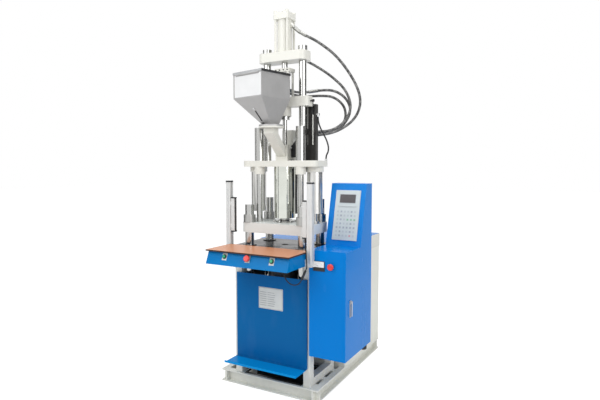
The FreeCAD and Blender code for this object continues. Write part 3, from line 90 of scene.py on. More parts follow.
# %% [markdown]
# ## Shader sums written as sums
# A material is a small graph of nodes. To keep the graph readable, one class wraps an output
# socket, so that `1 - mask` or `grain * 0.3` adds the Math node that does it. A comparison
# gives a mask, which is 1 where it holds and 0 elsewhere.


# %% A socket that can be added and multiplied
class Socket:
    def __init__(self, tree, link):
        self.tree = tree
        self.link = link

    def maths(self, operation, *values):
        node = self.tree.nodes.new("ShaderNodeMath")
        node.operation = operation
        for place, value in zip(node.inputs, values):
            join(self.tree, place, value)
        return Socket(self.tree, node.outputs[0])

    def __add__(self, other):
        return self.maths("ADD", self, other)

    def __sub__(self, other):
        return self.maths("SUBTRACT", self, other)

    def __rsub__(self, other):
        return self.maths("SUBTRACT", other, self)

    def __mul__(self, other):
        return self.maths("MULTIPLY", self, other)

    def __gt__(self, other):
        return self.maths("GREATER_THAN", self, other)

    def __lt__(self, other):
        return self.maths("LESS_THAN", self, other)

    def larger(self, other):
        return self.maths("MAXIMUM", self, other)

    def sine(self):
        return self.maths("SINE", self)

    __radd__ = __add__
    __rmul__ = __mul__


def join(tree, place, value):
    if isinstance(value, Socket):
        tree.links.new(value.link, place)
    else:
        place.default_value = value


print("sockets can be added, multiplied and compared")

# %% [markdown]
# ## A finish
# One class holds a graph and adds every other kind of node to it. A finish is the graph of one
# material: a colour, a roughness and how metallic it is, and then patterns. These could be
# unwrapped on to each mesh, but the machine's own metres place them, so the grain runs on from
# piece to piece and never stretches.


# %% The graph and finish classes
class Graph:
    def __init__(self, tree):
        self.tree = tree

    def node(self, kind, settings=None, sockets=None, out=0):
        node = self.tree.nodes.new("ShaderNode" + kind)
        for name, value in (settings or {}).items():
            setattr(node, name, value)
        for name, value in (sockets or {}).items():
            join(self.tree, node.inputs[name], value)
        return Socket(self.tree, node.outputs[out])

    def rays(self, *kinds):
        return sum(self.node("LightPath", out=f"Is {kind} Ray") for kind in kinds) > 0.5


class Finish(Graph):
    def __init__(self, name, colour, roughness=0.5, metallic=0.0, **constants):
        self.material = bpy.data.materials.new(name)
        self.material.use_nodes = True
        super().__init__(self.material.node_tree)
        self.shader = self.tree.nodes["Principled BSDF"]
        self.colour = (*colour, 1.0)
        self.material.diffuse_color = self.colour
        self.feed(Base_Color=self.colour, Roughness=roughness, Metallic=metallic, **constants)
        self.place = self.node("TexCoord", out="Object")
        self.x, self.y, self.z = (self.node("SeparateXYZ", sockets={0: self.place}, out=axis)
                                  for axis in "XYZ")

    def feed(self, **channels):
        for name, value in channels.items():
            join(self.tree, self.shader.inputs[name.replace("_", " ")], value)

    def noise(self, scale, detail=3.0, stretch=(1.0, 1.0, 1.0)):
        where = self.node("VectorMath", {"operation": "MULTIPLY"}, {0: self.place, 1: stretch})
        return self.node("TexNoise", sockets={"Vector": where, "Scale": scale, "Detail": detail})

    def ramp(self, value, low, high):
        return self.node("MapRange", sockets={"Value": value, "From Min": low, "From Max": high})

    def mix(self, mask, low, high):
        return self.node("Mix", {"data_type": "RGBA"}, {0: mask, 6: low, 7: high}, out=2)

    def shade(self, times, lift=0.0):
        red, green, blue = self.colour[:3]
        return (red * times + lift, green * times + lift, blue * times + lift, 1.0)

    def bump(self, height, depth, strength):
        self.feed(Normal=self.node("Bump", sockets={
            "Height": height, "Distance": depth, "Strength": strength}, out="Normal"))


print("a finish is a material with its own patterns")

# %% [markdown]
# ## Paint
# Machine enamel is sprayed, so its surface has a fine orange-peel ripple that breaks up every
# reflection. A slow change of tone, a few rubbed marks and some dust near the floor keep a
# large flat door from looking like coloured paper. One function makes every paint.


# %% The enamel
DUST_COLOUR = (0.30, 0.28, 0.24, 1)
DUST_HEIGHT = 0.3
PEEL_SCALE = 420
PEEL_DEPTH = 0.00012


def enamel(name, colour, roughness, tone, dust, gloss=0.08):
    finish = Finish(name, colour, Specular_IOR_Level=gloss)
    cloud = finish.noise(2.2)
    paint = finish.mix(cloud, finish.shade(1 - tone), finish.shade(1 + tone))
    rubbed = finish.ramp(finish.noise(9, 7, (1, 1, 0.35)), 0.6, 0.78)
    paint = finish.mix(rubbed * 0.18, paint, finish.shade(0.9, 0.06))
    low = 1 - finish.ramp(finish.z, 0.0, DUST_HEIGHT)
    settled = low * finish.ramp(finish.noise(26, 6), 0.35, 0.75)
    finish.paint = finish.mix(settled * dust, paint, DUST_COLOUR)
    finish.feed(Base_Color=finish.paint, Roughness=roughness + rubbed * 0.16 + settled * 0.2)
    finish.bump(finish.noise(PEEL_SCALE, 2.0) + rubbed * 0.15, PEEL_DEPTH, 0.35)
    return finish


def repaint(finish, where, colour):
    finish.feed(Base_Color=finish.mix(where, finish.paint, (*colour, 1)))


def cream(name, colour, dust):
    return enamel(name, colour, roughness=0.32, tone=0.03, dust=dust, gloss=0.3)


CREAM_COLOUR = (0.74, 0.73, 0.67)
BLUE_COLOUR = (0.0, 0.188, 0.60)
CREAM = cream("cream_enamel", CREAM_COLOUR, 0.18)
# Painted correction of light: the platen's cream is tinted cooler than the frame's, to cancel the
# warm light that the board bounces on to it.
PLATEN_CREAM = cream("platen_cream_tinted_against_bounce_light", (0.73, 0.755, 0.735), 0.18)
TANK_CREAM = cream("tank_cream_enamel_with_painted_shade", (0.76, 0.76, 0.69), 0.12)
BASE_CREAM = cream("base_cream_enamel_with_painted_shade", (0.76, 0.76, 0.70), 0.12)
CABINET_BLUE, LID_BLUE, DOOR_BLUE = (enamel(f"{place}_blue_enamel", BLUE_COLOUR, 0.24, 0.05, 0.1)
                                     for place in ("cabinet", "tank_lid", "door"))
PANEL_BLUE = enamel("front_panel_blue_enamel", (0.001, 0.118, 0.34), 0.3, 0.06, 0.1)
BOX_BLUE = enamel("control_box_blue_enamel", (0.0, 0.172, 0.465), 0.26, 0.05, 0.1)
MOTOR_GREY = enamel("motor_grey_enamel", (0.10, 0.12, 0.14), 0.45, 0.1, 0.4)
print("ten paints")

# %% [markdown]
# ## Second colours, a painted highlight and painted shade on one solid
# Five solids change colour in one place. The rim of the tank's lid is cream and the plate on the
# door bare metal. The front panel's tray faces up and is painted a lighter blue: a painted
# highlight. The tank's front and the base between the frame's legs stand in the dark and are
# painted dark: painted shade. A second material would need faces of its own, so a mask made from
# the place starts the other colour.

# %% Paint the second colours, the painted highlight and the painted shade
TRAY_FRONT_Y = -0.21
LID_RIM_Z = 0.9574
DOOR_SKIN_X = 0.5524
TANK_FACE_Y, TANK_FACE_X, TANK_FOOT_Z = 0.2335, 0.29, 0.12
LEGS_X, LEGS_Y = 0.222, 0.20
WEB_Y, LIP_Y, LIP_Z = -0.1478, -0.180, 0.0838

# Painted highlight: the front panel's tray faces up and catches the light, so it is painted a
# lighter blue than the rest of the panel.
repaint(PANEL_BLUE, PANEL_BLUE.y < TRAY_FRONT_Y, (0.001, 0.255, 0.63))
repaint(LID_BLUE, LID_BLUE.z < LID_RIM_Z, CREAM_COLOUR)
repaint(DOOR_BLUE, DOOR_BLUE.x > DOOR_SKIN_X, (0.50, 0.51, 0.52))
# Painted shade: the tank's front face stands in the dark behind the frame and is painted dark
# navy.
shaded_tank_front = ((TANK_CREAM.y < TANK_FACE_Y) * (TANK_CREAM.x < TANK_FACE_X)
              * (TANK_CREAM.z > TANK_FOOT_Z))
repaint(TANK_CREAM, shaded_tank_front, (0.012, 0.022, 0.055))
# Painted shade: behind the front channel's web, on its top flange and between the legs, the base
# is painted near black where it stands in the dark.
shaded_behind_web = BASE_CREAM.y > WEB_Y
shaded_lip = (BASE_CREAM.z > LIP_Z) * (BASE_CREAM.y > LIP_Y)
shaded_between_legs = (BASE_CREAM.x > -LEGS_X) * (BASE_CREAM.x < LEGS_X) * (BASE_CREAM.y < LEGS_Y)
repaint(BASE_CREAM, shaded_behind_web.larger(shaded_lip) * shaded_between_legs, (0.025, 0.024, 0.022))
print("five second colours")

# %% [markdown]
# ## Bright metal
# Hard-chromed columns are smooth along their length and carry faint rings from grinding.
# Brushed sheet is the other way round: fine long scratches that pull highlights into streaks.
# Both are the same finish with the grain turned and its depth changed. The column covers are
# chromed above and painted below, so theirs is a mix of both.


# %% Metals
def metal(name, colour, roughness, grain, depth, spread=0.12, tone=0.12):
    finish = Finish(name, colour, metallic=1.0)
    scratch = finish.noise(1.0, 3.0, grain)
    smear = finish.ramp(finish.noise(12, 5), 0.35, 0.7)
    finish.feed(Base_Color=finish.mix(scratch * 0.5 + smear * 0.5, finish.shade(1 - tone),
                                      finish.shade(1 + tone / 2)),
                Roughness=roughness + scratch * spread + smear * spread * 0.5)
    finish.bump(scratch, depth, 0.4)
    return finish


CHROME_COLOUR = (0.52, 0.52, 0.505)
CHROME = metal("hard_chrome", CHROME_COLOUR, 0.12, (50, 50, 700), 0.00002, 0.05, 0.08)
GROUND = metal("turned_steel", (0.46, 0.46, 0.445), 0.22, (120, 120, 1500), 0.00006, 0.1)
STAINLESS = metal("brushed_stainless", (0.50, 0.51, 0.52), 0.3, (900, 900, 14), 0.00003)
HOPPER_STEEL = metal("hopper_sheet", (0.44, 0.434, 0.43), 0.44, (700, 700, 10), 0.00003, 0.1)
HOPPER_STEEL.feed(Metallic=0.45)
TUBE = metal("honed_tube", (0.68, 0.675, 0.65), 0.26, (60, 60, 700), 0.00003, 0.08)
SHIELD_STEEL = metal("polished_shield", (0.74, 0.76, 0.70), 0.06, (18, 18, 9), 0.0005, 0.03)
BAND = metal("heater_band_steel", (0.50, 0.45, 0.36), 0.34, (30, 30, 900), 0.00006, 0.15, 0.2)
ALUMINIUM = metal("anodised_aluminium", (0.66, 0.67, 0.67), 0.34, (900, 900, 20), 0.00003, 0.08)
ZINC = metal("zinc_plate", (0.34, 0.34, 0.325), 0.26, (200, 200, 200), 0.00004, 0.16, 0.2)
BLACK_OXIDE = metal("black_oxide_steel", (0.035, 0.035, 0.038), 0.38, (200, 200, 300), 0.00005)
CAST = metal("cast_iron", (0.16, 0.16, 0.16), 0.5, (220, 220, 220), 0.0003, 0.2, 0.3)

COVER_PAINT_TOP = 1.5
COVER = Finish("column_covers", CHROME_COLOUR, Specular_IOR_Level=0.3)
painted = COVER.z < COVER_PAINT_TOP
COVER.feed(Base_Color=COVER.mix(painted, COVER.colour, (*CREAM_COLOUR, 1)),
           Metallic=1 - painted, Roughness=0.12 + painted * 0.2 + COVER.noise(30, 4) * 0.05)
COVER.bump(COVER.noise(1.0, 3.0, (50, 50, 700)), 0.00003, 0.4)
print("twelve metals")

# %% [markdown]
# ## Plastic and rubber
# Buttons, labels, the display and the cables are moulded or coated. They have a fine even
# grain, coarser on rubber than on a polished cap, and here and there a smear from hands.


# %% Plastics and rubber
def moulded(name, colour, roughness, grain=900, depth=0.00005, tone=0.1, gloss=0.4):
    finish = Finish(name, colour, Specular_IOR_Level=gloss)
    speckle = finish.noise(grain, 2.0)
    wipe = finish.ramp(finish.noise(18, 5), 0.4, 0.7)
    finish.feed(Base_Color=finish.mix(wipe, finish.shade(1 - tone), finish.shade(1 + tone)),
                Roughness=roughness + wipe * 0.12)
    finish.bump(speckle, depth, 0.5)
    return finish


BLACK = moulded("black_plastic", (0.018, 0.018, 0.019), 0.4)
MATT_BLACK = moulded("matt_black_rubber", (0.022, 0.022, 0.023), 0.62, 500, 0.0001)
SCALE_BLACK = moulded("black_anodised_channel", (0.035, 0.033, 0.031), 0.3, 700)
GREEN = moulded("green_button", (0.0, 0.33, 0.15), 0.22, 300, 0.00002, 0.06)
RED = moulded("red_mushroom", (0.74, 0.05, 0.045), 0.25, 300, 0.00002, 0.06)
PALE = moulded("pale_label", (0.62, 0.63, 0.61), 0.38, 700, 0.00002, 0.04)
WHITE = moulded("white_vinyl", (0.80, 0.80, 0.80), 0.28, 260, 0.00002, 0.015)
MEMBRANE = moulded("keypad_membrane", (0.52, 0.57, 0.585), 0.34, 1200, 0.00002, 0.03)
GLASS = moulded("dark_display", (0.085, 0.078, 0.082), 0.3, 60, 0.00001, 0.15, 0.2)
POST = moulded("white_coated_post", (0.66, 0.665, 0.655), 0.3, 500, 0.00003, 0.03)
print("ten plastics")

# %% [markdown]
# ## Board, bed and braid
# The work board is a laminate: mottled brown on its face, with a dark machined edge. The bed is
# ground steel with faint rings and a film of oil on top. Height tells face from edge on both.
# A hydraulic hose is braided, and its strands follow the hose's own length and turn, so this
# one pattern takes its place from a UV map.

# %% Board, bed and braid
BOARD_FACE_Z = 0.9767
BED_FACE_Z = 0.9645
STRANDS = 10
WAVES_PER_METRE = 60.0

LAMINATE = Finish("board_laminate", (0.55, 0.225, 0.10), Coat_Roughness=0.12,
                  Specular_IOR_Level=0.3)
fleck = LAMINATE.noise(34, 6, (1, 3.2, 1))
cloudy = LAMINATE.noise(5)
board_face = LAMINATE.z > BOARD_FACE_Z
brown = LAMINATE.mix(fleck * 0.6 + cloudy * 0.4, LAMINATE.shade(0.82), LAMINATE.shade(1.2, 0.02))
LAMINATE.feed(Base_Color=LAMINATE.mix(board_face, (0.045, 0.02, 0.014, 1), brown),
              Roughness=0.3 + fleck * 0.14, Coat_Weight=board_face * 0.12)
LAMINATE.bump(LAMINATE.noise(300), 0.00006, 0.4)

BED_STEEL = Finish("ground_bed", (0.30, 0.30, 0.30), metallic=1.0)
swirl = BED_STEEL.node("TexWave", {"wave_type": "RINGS", "rings_direction": "Z"}, {
    "Vector": BED_STEEL.place, "Scale": 60.0, "Distortion": 2.5, "Detail": 2.0,
    "Detail Scale": 3.0}, out="Fac")
oil = BED_STEEL.ramp(BED_STEEL.noise(11, 6), 0.42, 0.68)
bed_face = BED_STEEL.z > BED_FACE_Z
oiled = BED_STEEL.mix(oil, (0.050, 0.050, 0.052, 1), (0.145, 0.145, 0.142, 1))
BED_STEEL.feed(Base_Color=BED_STEEL.mix(bed_face, (0.42, 0.42, 0.40, 1), oiled),
               Roughness=0.22 + swirl * 0.08 + oil * 0.14)
BED_STEEL.bump(swirl, 0.00003, 0.3)

BRAID = Finish("hydraulic_hose", (0.05, 0.05, 0.052), Specular_IOR_Level=0.6)
unrolled = BRAID.node("UVMap", {"uv_map": "UVMap"}, out="UV")
turn, reach = (BRAID.node("SeparateXYZ", sockets={0: unrolled}, out=axis) for axis in "XY")
right_hand = ((turn * STRANDS + reach * WAVES_PER_METRE) * math.tau).sine()
left_hand = ((turn * STRANDS - reach * WAVES_PER_METRE) * math.tau).sine()
weave = BRAID.ramp(right_hand * left_hand, -0.6, 0.9)
patch = BRAID.ramp(BRAID.noise(55, 4), 0.4, 0.62)
BRAID.feed(Base_Color=BRAID.mix(weave * patch, (0.034, 0.034, 0.035, 1), (0.42, 0.41, 0.39, 1)),
           Roughness=0.42 - weave * 0.12)
BRAID.bump(weave, 0.0006, 0.7)
print("board, bed and braid")

# %% [markdown]
# ## Making a shape
# Small hardware is built face by face in one growing mesh. A block gets softened edges, since
# no real edge is sharp, and a turned part is a profile spun round an axis, as on a lathe. Six
# sides instead of many make a nut. Ready cubes and cylinders would each need their own bevels
# and joining.


# %% The shape class
UP = Vector((0, 0, 1))
FRONTWARD = (0, -1, 0)
SHARP_ANGLE = 0.6


def at(x, y, z):
    return Matrix.Translation((x, y, z))


def facing(point, direction=UP):
    turned = Vector(direction).to_track_quat("Z", "Y").to_matrix().to_4x4()
    return Matrix.Translation(point) @ turned


def round_places(centre, radius, count, offset=0.0):
    x, y, z = centre
    angles = [math.tau * (step + offset) / count for step in range(count)]
    return [(x + radius * math.cos(angle), y + radius * math.sin(angle), z) for angle in angles]


class Shape:
    def __init__(self):
        self.mesh = bmesh.new()

    def block(self, size, where, edge):
        made = bmesh.ops.create_cube(self.mesh, size=1.0,
                                     matrix=where @ Matrix.Diagonal((*size, 1)))
        rims = list(dict.fromkeys(rim for corner in made["verts"] for rim in corner.link_edges))
        bmesh.ops.bevel(self.mesh, geom=rims, offset=edge, segments=2, affect="EDGES")

    def bar(self, low, high, edge=0.0006):
        low, high = Vector(low), Vector(high)
        self.block(high - low, Matrix.Translation((low + high) / 2), edge)

    def turned(self, profile, where, sides=24, hollow=False):
        rings = []
        for radius, height in profile:
            spin = [math.tau * step / sides for step in range(sides)]
            rings.append([self.mesh.verts.new(where @ Vector((
                radius * math.cos(angle), radius * math.sin(angle), height))) for angle in spin])
        for low, high in zip(rings, rings[1:] + (rings[:1] if hollow else [])):
            for step in range(sides):
                self.mesh.faces.new((low[step - 1], low[step], high[step], high[step - 1]))
        if not hollow:
            self.mesh.faces.new(rings[0][::-1])
            self.mesh.faces.new(rings[-1])

    def screw(self, point, direction, radius, height):
        self.turned([(radius, 0), (radius, height * 0.85), (radius * 0.88, height),
                     (radius * 0.5, height), (radius * 0.45, height * 0.3)],
                    facing(point, direction), 18)

    def nut(self, point, direction, radius, height):
        self.turned([(radius * 0.9, 0), (radius, height * 0.12), (radius, height * 0.85),
                     (radius * 0.88, height)], facing(point, direction), 6)

    def piece(self, name, finish, slot, body, *replaced):
        bmesh.ops.recalc_face_normals(self.mesh, faces=self.mesh.faces)
        data = bpy.data.meshes.new(name)
        self.mesh.to_mesh(data)
        self.mesh.free()
        data.materials.append(finish.material)
        data.shade_smooth()
        data.set_sharp_from_angle(angle=SHARP_ANGLE)
        thing = placed(name, data)
        if body:
            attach(thing, body)
        if replaced:
            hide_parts(*replaced)
        return thing


print("blocks, turned parts, screws and nuts")

# %% [markdown]
# ## Hoses and cables
# A hose is a fixed length of something springy: it leaves its fitting straight and hangs in a
# wide curve. Its line is a smooth spline along the solid one's own route.


# %% The routes
ROUTES = {
    "ram_hose_top": [
        (0.08752, 0, 2.40422), (0.13348, 0, 2.36565), (0.226, 0.049, 2.318),
        (0.343, 0.151, 2.210), (0.444, 0.276, 1.994), (0.406, 0.307, 1.842),
        (0.295, 0.214, 1.733), (0.153, 0.106, 1.706), (0.060, 0.106, 1.706)],
    "ram_hose_low": [
        (0.080, 0.094, 2.225), (0.080, 0.166, 2.225), (0.112, 0.228, 2.205),
        (0.213, 0.273, 2.134), (0.326, 0.298, 2.024), (0.358, 0.320, 1.885),
        (0.274, 0.249, 1.751), (0.156, 0.106, 1.732), (0.060, 0.106, 1.732)],
    "motor_hose_in": [
        (0.013, 0.074, 2.014), (0.013, 0.144, 2.014), (0.055, 0.208, 2.020),
        (0.150, 0.243, 2.034), (0.246, 0.276, 2.030), (0.316, 0.332, 1.970),
        (0.341, 0.346, 1.876), (0.279, 0.286, 1.752), (0.162, 0.140, 1.710),
        (0.060, 0.140, 1.710)],
    "motor_hose_out": [
        (-0.013, 0.074, 2.000), (-0.013, 0.150, 2.000), (0.030, 0.216, 1.993),
        (0.140, 0.262, 1.998), (0.222, 0.304, 1.992), (0.288, 0.352, 1.926),
        (0.294, 0.356, 1.824), (0.250, 0.294, 1.756), (0.168, 0.174, 1.732),
        (0.060, 0.174, 1.732)],
    "curtain_lead_upper": [
        (0.2905, -0.250, 1.032), (0.2905, -0.250, 1.004), (0.312, -0.279, 0.981),
        (0.320, -0.292, 0.948), (0.322, -0.292, 0.915), (0.324, -0.292, 0.88674),
        (0.314, -0.292, 0.866)],
    "curtain_lead_lower": [
        (0.287, -0.292, 0.810), (0.276, -0.292, 0.78719), (0.252, -0.292, 0.772),
        (0.220, -0.292, 0.769), (0.190, -0.292, 0.783), (0.168, -0.292, 0.810),
        (0.160, -0.292, 0.845), (0.160, -0.292, 0.876)],
    "heater_loom": [
        (0.092, -0.008, 1.486), (0.092, -0.008, 1.390), (0.089, -0.006, 1.290),
        (0.092, -0.008, 1.182)],
    "feed_sensor_lead": [
        (0.058, -0.008, 1.624), (0.074, -0.008, 1.624), (0.090, -0.008, 1.606),
        (0.092, -0.008, 1.580), (0.092, -0.008, 1.550)],
    "stroke_scale_lead": [
        (0.215, 0.072, 1.829), (0.215, 0.072, 1.794), (0.241, 0.072, 1.738),
        (0.274, 0.072, 1.684), (0.292, 0.072, 1.636), (0.292, 0.072, 1.598),
        (0.275, 0.072, 1.572), (0.275, 0.072, 1.550)],
}


def route(name, radius=0.0):
    line = bpy.data.curves.new(name, "CURVE")
    line.dimensions = "3D"
    line.resolution_u = 12
    part = line.splines.new("NURBS")
    part.points.add(len(ROUTES[name]) - 1)
    for knot, point in zip(part.points, ROUTES[name]):
        knot.co = (*point, 1)
    part.order_u = 3
    part.use_endpoint_u = True
    line.bevel_depth = radius
    line.bevel_resolution = 4
    line.use_fill_caps = radius > 0
    return placed(name, line)


print(len(ROUTES), "routes")

# %% [markdown]
# ## Hydraulic hoses
# The braid of the four hydraulic hoses is laid out along their length. A bevelled spline has no
# such layout, so these are swept: rings of points stand square to the line, and each face knows
# its turn and its reach. Two hoses have a collar, swept along a stretch of the same line. Two
# move with the motor; these belong to no body, and their placement is baked into their mesh.

# %% Sweep the hydraulic hoses
HOSE_RADIUS = 0.009
HOSE_SIDES = 16
COLLAR_WALL = 0.0026
HOSES = [("ram_hose_top", 1.222, "ram_hoses"), ("ram_hose_low", 1.003, "ram_hoses"),
         ("motor_hose_in", 0.972, "motor_hoses"), ("motor_hose_out", 0.90, "motor_hoses")]
COLLARS = {"ram_hose_top": (0.012, 0.088), "motor_hose_in": (0.155, 0.225)}


def line_points(name):
    guide = route(name)
    thin = bpy.data.meshes.new_from_object(guide)
    points = [point.co.copy() for point in thin.vertices]
    bpy.data.objects.remove(guide)
    bpy.data.meshes.remove(thin)
    return points


def swept(points, radius):
    shape = Shape()
    ribbon = shape.mesh.loops.layers.uv.new("UVMap")
    rings = []
    reached = [0.0]
    across = None
    for index, point in enumerate(points):
        ahead = (points[min(index + 1, len(points) - 1)] - points[max(index - 1, 0)]).normalized()
        across = ahead.orthogonal() if across is None else across - ahead * across.dot(ahead)
        across.normalize()
        side = ahead.cross(across)
        angles = [math.tau * step / HOSE_SIDES for step in range(HOSE_SIDES)]
        rings.append([shape.mesh.verts.new(point + radius * (
            math.cos(angle) * across + math.sin(angle) * side)) for angle in angles])
        if index:
            reached.append(reached[-1] + (point - points[index - 1]).length)
    for index, (low, high) in enumerate(zip(rings, rings[1:])):
        for step in range(HOSE_SIDES):
            nearby = (step + 1) % HOSE_SIDES
            wall = shape.mesh.faces.new((low[step], low[nearby], high[nearby], high[step]))
            corners = [(step, index), (step + 1, index), (step + 1, index + 1), (step, index + 1)]
            for loop, (turns, ring) in zip(wall.loops, corners):
                loop[ribbon].uv = (turns / HOSE_SIDES, reached[ring])
    shape.mesh.faces.new(rings[0][::-1])
    shape.mesh.faces.new(rings[-1])
    return shape


def stretch(points, start, end):
    reached = 0.0
    kept = []
    for last, point in zip(points, points[1:]):
        reached += (point - last).length
        if start <= reached <= end:
            kept.append(point)
    return kept


for name, length, solid in HOSES:
    moves = solid == "motor_hoses"
    body = None if moves else "seat"
    points = line_points(name)
    hose = swept(points, HOSE_RADIUS).piece(name, BRAID, "hose_rubber", body, solid)
    pieces = [hose]
    if name in COLLARS:
        collar = swept(stretch(points, *COLLARS[name]), HOSE_RADIUS + COLLAR_WALL)
        pieces.append(collar.piece(name + "_collar", ZINC, "ground_steel", body))
    if moves:
        for thing in pieces:
            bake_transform(thing)
    print(name, "follows", len(points), "points")

# %% [markdown]
# ## Thin cables
# The leads of the light curtains, the heaters, the feed sensor and the stroke scale are plain
# black rubber with no pattern to lay out, so they stay splines with a round bevel.

# %% Lay the thin cables
CABLES = [("curtain_lead_upper", 0.188, 0.0035, "base", "curtain_cable"),
          ("curtain_lead_lower", 0.218, 0.0035, "base", "curtain_cable"),
          ("heater_loom", 0.304, 0.008, "seat", "looms"),
          ("feed_sensor_lead", 0.094, 0.0025, "seat", "looms"),
          ("stroke_scale_lead", 0.305, 0.005, "seat", "looms")]
for name, length, radius, body, solid in CABLES:
    cable = route(name, radius)
    cable.data.materials.append(MATT_BLACK.material)
    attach(cable, body)
    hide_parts(solid)
print(len(CABLES), "cables laid")

# %% [markdown]
# ## Hose fittings and cable glands
# A pressure hose ends in a hexagon nut and a sleeve crimped on in rings, and a cable enters a
# box through a domed gland nut. Both are turned along the way the hose leaves. The top hose
# leaves the cylinder's head on a slope and has the longest sleeve.

# %% Fit the nuts, sleeves and glands
RAM_SLOPE = (0.766, 0, -0.643)
RIGHTWARD, BACKWARD = (1, 0, 0), (0, 1, 0)
PORTS = [((0.030, 0.106, 1.732), RIGHTWARD), ((0.030, 0.106, 1.706), RIGHTWARD),
         ((0.030, 0.140, 1.710), RIGHTWARD), ((0.030, 0.174, 1.732), RIGHTWARD),
         ((0.06454, 0, 2.4235), RAM_SLOPE), ((0.080, 0.064, 2.225), BACKWARD)]
MOTOR_PORTS = [((0.013, 0.044, 2.014), BACKWARD), ((-0.013, 0.044, 2.000), BACKWARD)]
CRIMPS, RAM_CRIMPS = 3, 9
CRIMP_START, CRIMP_PITCH = 0.0175, 0.006


def crimped(shape, point, direction, crimps=CRIMPS):
    shape.nut(point, direction, 0.0138, 0.012)
    profile = [(0.0095, 0.011), (0.0095, 0.015), (0.0120, 0.0165)]
    for ring in range(crimps):
        level = CRIMP_START + ring * CRIMP_PITCH
        profile += [(0.0126, level), (0.0126, level + 0.0034), (0.0114, level + 0.0042),
                    (0.0114, level + 0.0056)]
    end = CRIMP_START + crimps * CRIMP_PITCH
    profile += [(0.0110, end), (0.0094, end + 0.0006)]
    shape.turned(profile, facing(point, direction))


def gland(shape, point, direction, radius=0.009, height=0.012):
    shape.nut(point, direction, radius, height * 0.45)
    shape.turned([(radius * 0.8, height * 0.4), (radius * 0.86, height * 0.5),
                  (radius * 0.86, height * 0.8), (radius * 0.6, height)],
                 facing(point, direction), 20)


fittings = Shape()
for point, direction in PORTS:
    crimped(fittings, point, direction, RAM_CRIMPS if direction == RAM_SLOPE else CRIMPS)
fittings.piece("hose_fittings", ZINC, "ground_steel", "seat", "hose_ferrules")

motor_fittings = Shape()
for point, direction in MOTOR_PORTS:
    crimped(motor_fittings, point, direction)
motor_fittings.piece("motor_hose_fittings", ZINC, "ground_steel", "injection")

glands = Shape()
for point, direction in [((0.092, -0.008, 1.498), -UP), ((0.092, -0.008, 1.538), UP),
                         ((0.046, -0.008, 1.624), RIGHTWARD), ((0.275, 0.072, 1.538), UP)]:
    gland(glands, point, direction)
glands.turned([(0.0088, 0), (0.0088, 0.016), (0.0074, 0.018)],
              facing((0.206, 0.072, 1.846), RIGHTWARD))
glands.turned([(0.0088, -0.004), (0.0088, 0.011), (0.0078, 0.0115), (0.0078, 0.0145),
               (0.0054, 0.017)], facing((0.215, 0.072, 1.846), -UP))
glands.piece("cable_glands", ALUMINIUM, "ground_steel", "seat", "hose_ferrules")
print("fittings on", len(PORTS) + len(MOTOR_PORTS), "hose ends")

# %% [markdown]
# ## Finishes for the solids
# Most solids keep their shape and only need a finish. Each line below names one finish and the
# solids that share it.


# %% Dress the solids
def dress(finish, *names):
    for name in names:
        for place in SOLIDS[name].material_slots:
            place.material = finish.material


dress(CREAM, "main_frame", "seat_plate", "feed_block", "feed_chute", "top_plate",
      "injection_cylinder", "cylinder_head", "injection_yoke", "motor_cage", "hose_manifold")
dress(BASE_CREAM, "base_frame")
dress(TANK_CREAM, "tank_housing")
dress(PLATEN_CREAM, "moving_platen")
dress(CABINET_BLUE, "cabinet", "console")
dress(DOOR_BLUE, "cabinet_door")
dress(LID_BLUE, "tank_lid")
dress(PANEL_BLUE, "front_panel")
dress(BOX_BLUE, "control_box")
dress(MOTOR_GREY, "power_pack", "hydraulic_motor")
dress(CHROME, "tie_bars", "guide_columns", "lift_rods", "injection_columns", "clamp_piston",
      "injection_piston", "screw", "handle_lever")
dress(COVER, "guide_covers")
dress(TUBE, "lift_cylinders")
dress(CAST, "clamp_cylinder", "crosshead")
dress(GROUND, "tie_nuts", "barrel", "nozzle")
dress(STAINLESS, "hopper_lid")
dress(HOPPER_STEEL, "hopper")
dress(SHIELD_STEEL, "barrel_shield")
dress(BAND, "heater_bands")
dress(BED_STEEL, "bed")
dress(LAMINATE, "work_board")
dress(POST, "curtain_posts", "light_curtains")
dress(BLACK, "panel_fittings", "switchgear", "cable_plugs", "scale_pointer")
dress(SCALE_BLACK, "stroke_scale")
dress(PALE, "label_plates")
dress(MEMBRANE, "keypad")
dress(GREEN, "button_left", "button_right")
dress(RED, "button_stop", "cabinet_stop")
print("every solid has its finish")

# %% [markdown]
# ## The hopper
# The hopper is folded from stainless sheet and stands turned a little from the machine. Its
# front has a plain white sticker, and the funnel a slanted sight slot with a stud above it and a
# nut below; the slot is a black block, painted shade of the hopper's dark inside. The lid has a
# black strip along its right edge. A matrix holds the turn, so that each part is placed in the
# hopper's own directions.

# %% Dress the hopper
HOPPER = at(0, -0.175, 0) @ Matrix.Rotation(math.radians(-12.6), 4, "Z")
BIN_RIGHT, BIN_FRONT = 0.083, -0.167

sticker = Shape()
sticker.block((0.240, 0.0006, 0.137), HOPPER @ at(-0.040, BIN_FRONT - 0.0004, 2.0045), 0.0002)
sticker.piece("hopper_sticker", WHITE, "label", "hopper")

# A black strip along the right edge of the lid, where that edge shows dark.
lid_black_strip = Shape()
lid_black_strip.block((0.0024, 0.262, 0.0142), HOPPER @ at(BIN_RIGHT + 0.0042, -0.039, 2.0870), 0.0008)
lid_black_strip.piece("hopper_lid_black_strip", MATT_BLACK, "black_plastic", "hopper_lid")

slot_high = HOPPER @ Vector((-0.0351, -0.1062, 1.8507))
slot_low = HOPPER @ Vector((-0.0250, -0.0584, 1.7893))
along = slot_high - slot_low
off_funnel = HOPPER.to_3x3() @ Vector((0, -0.784, -0.62))
slot_axes = Matrix((along.cross(off_funnel).normalized(), off_funnel.normalized(),
                    along.normalized())).transposed().to_4x4()
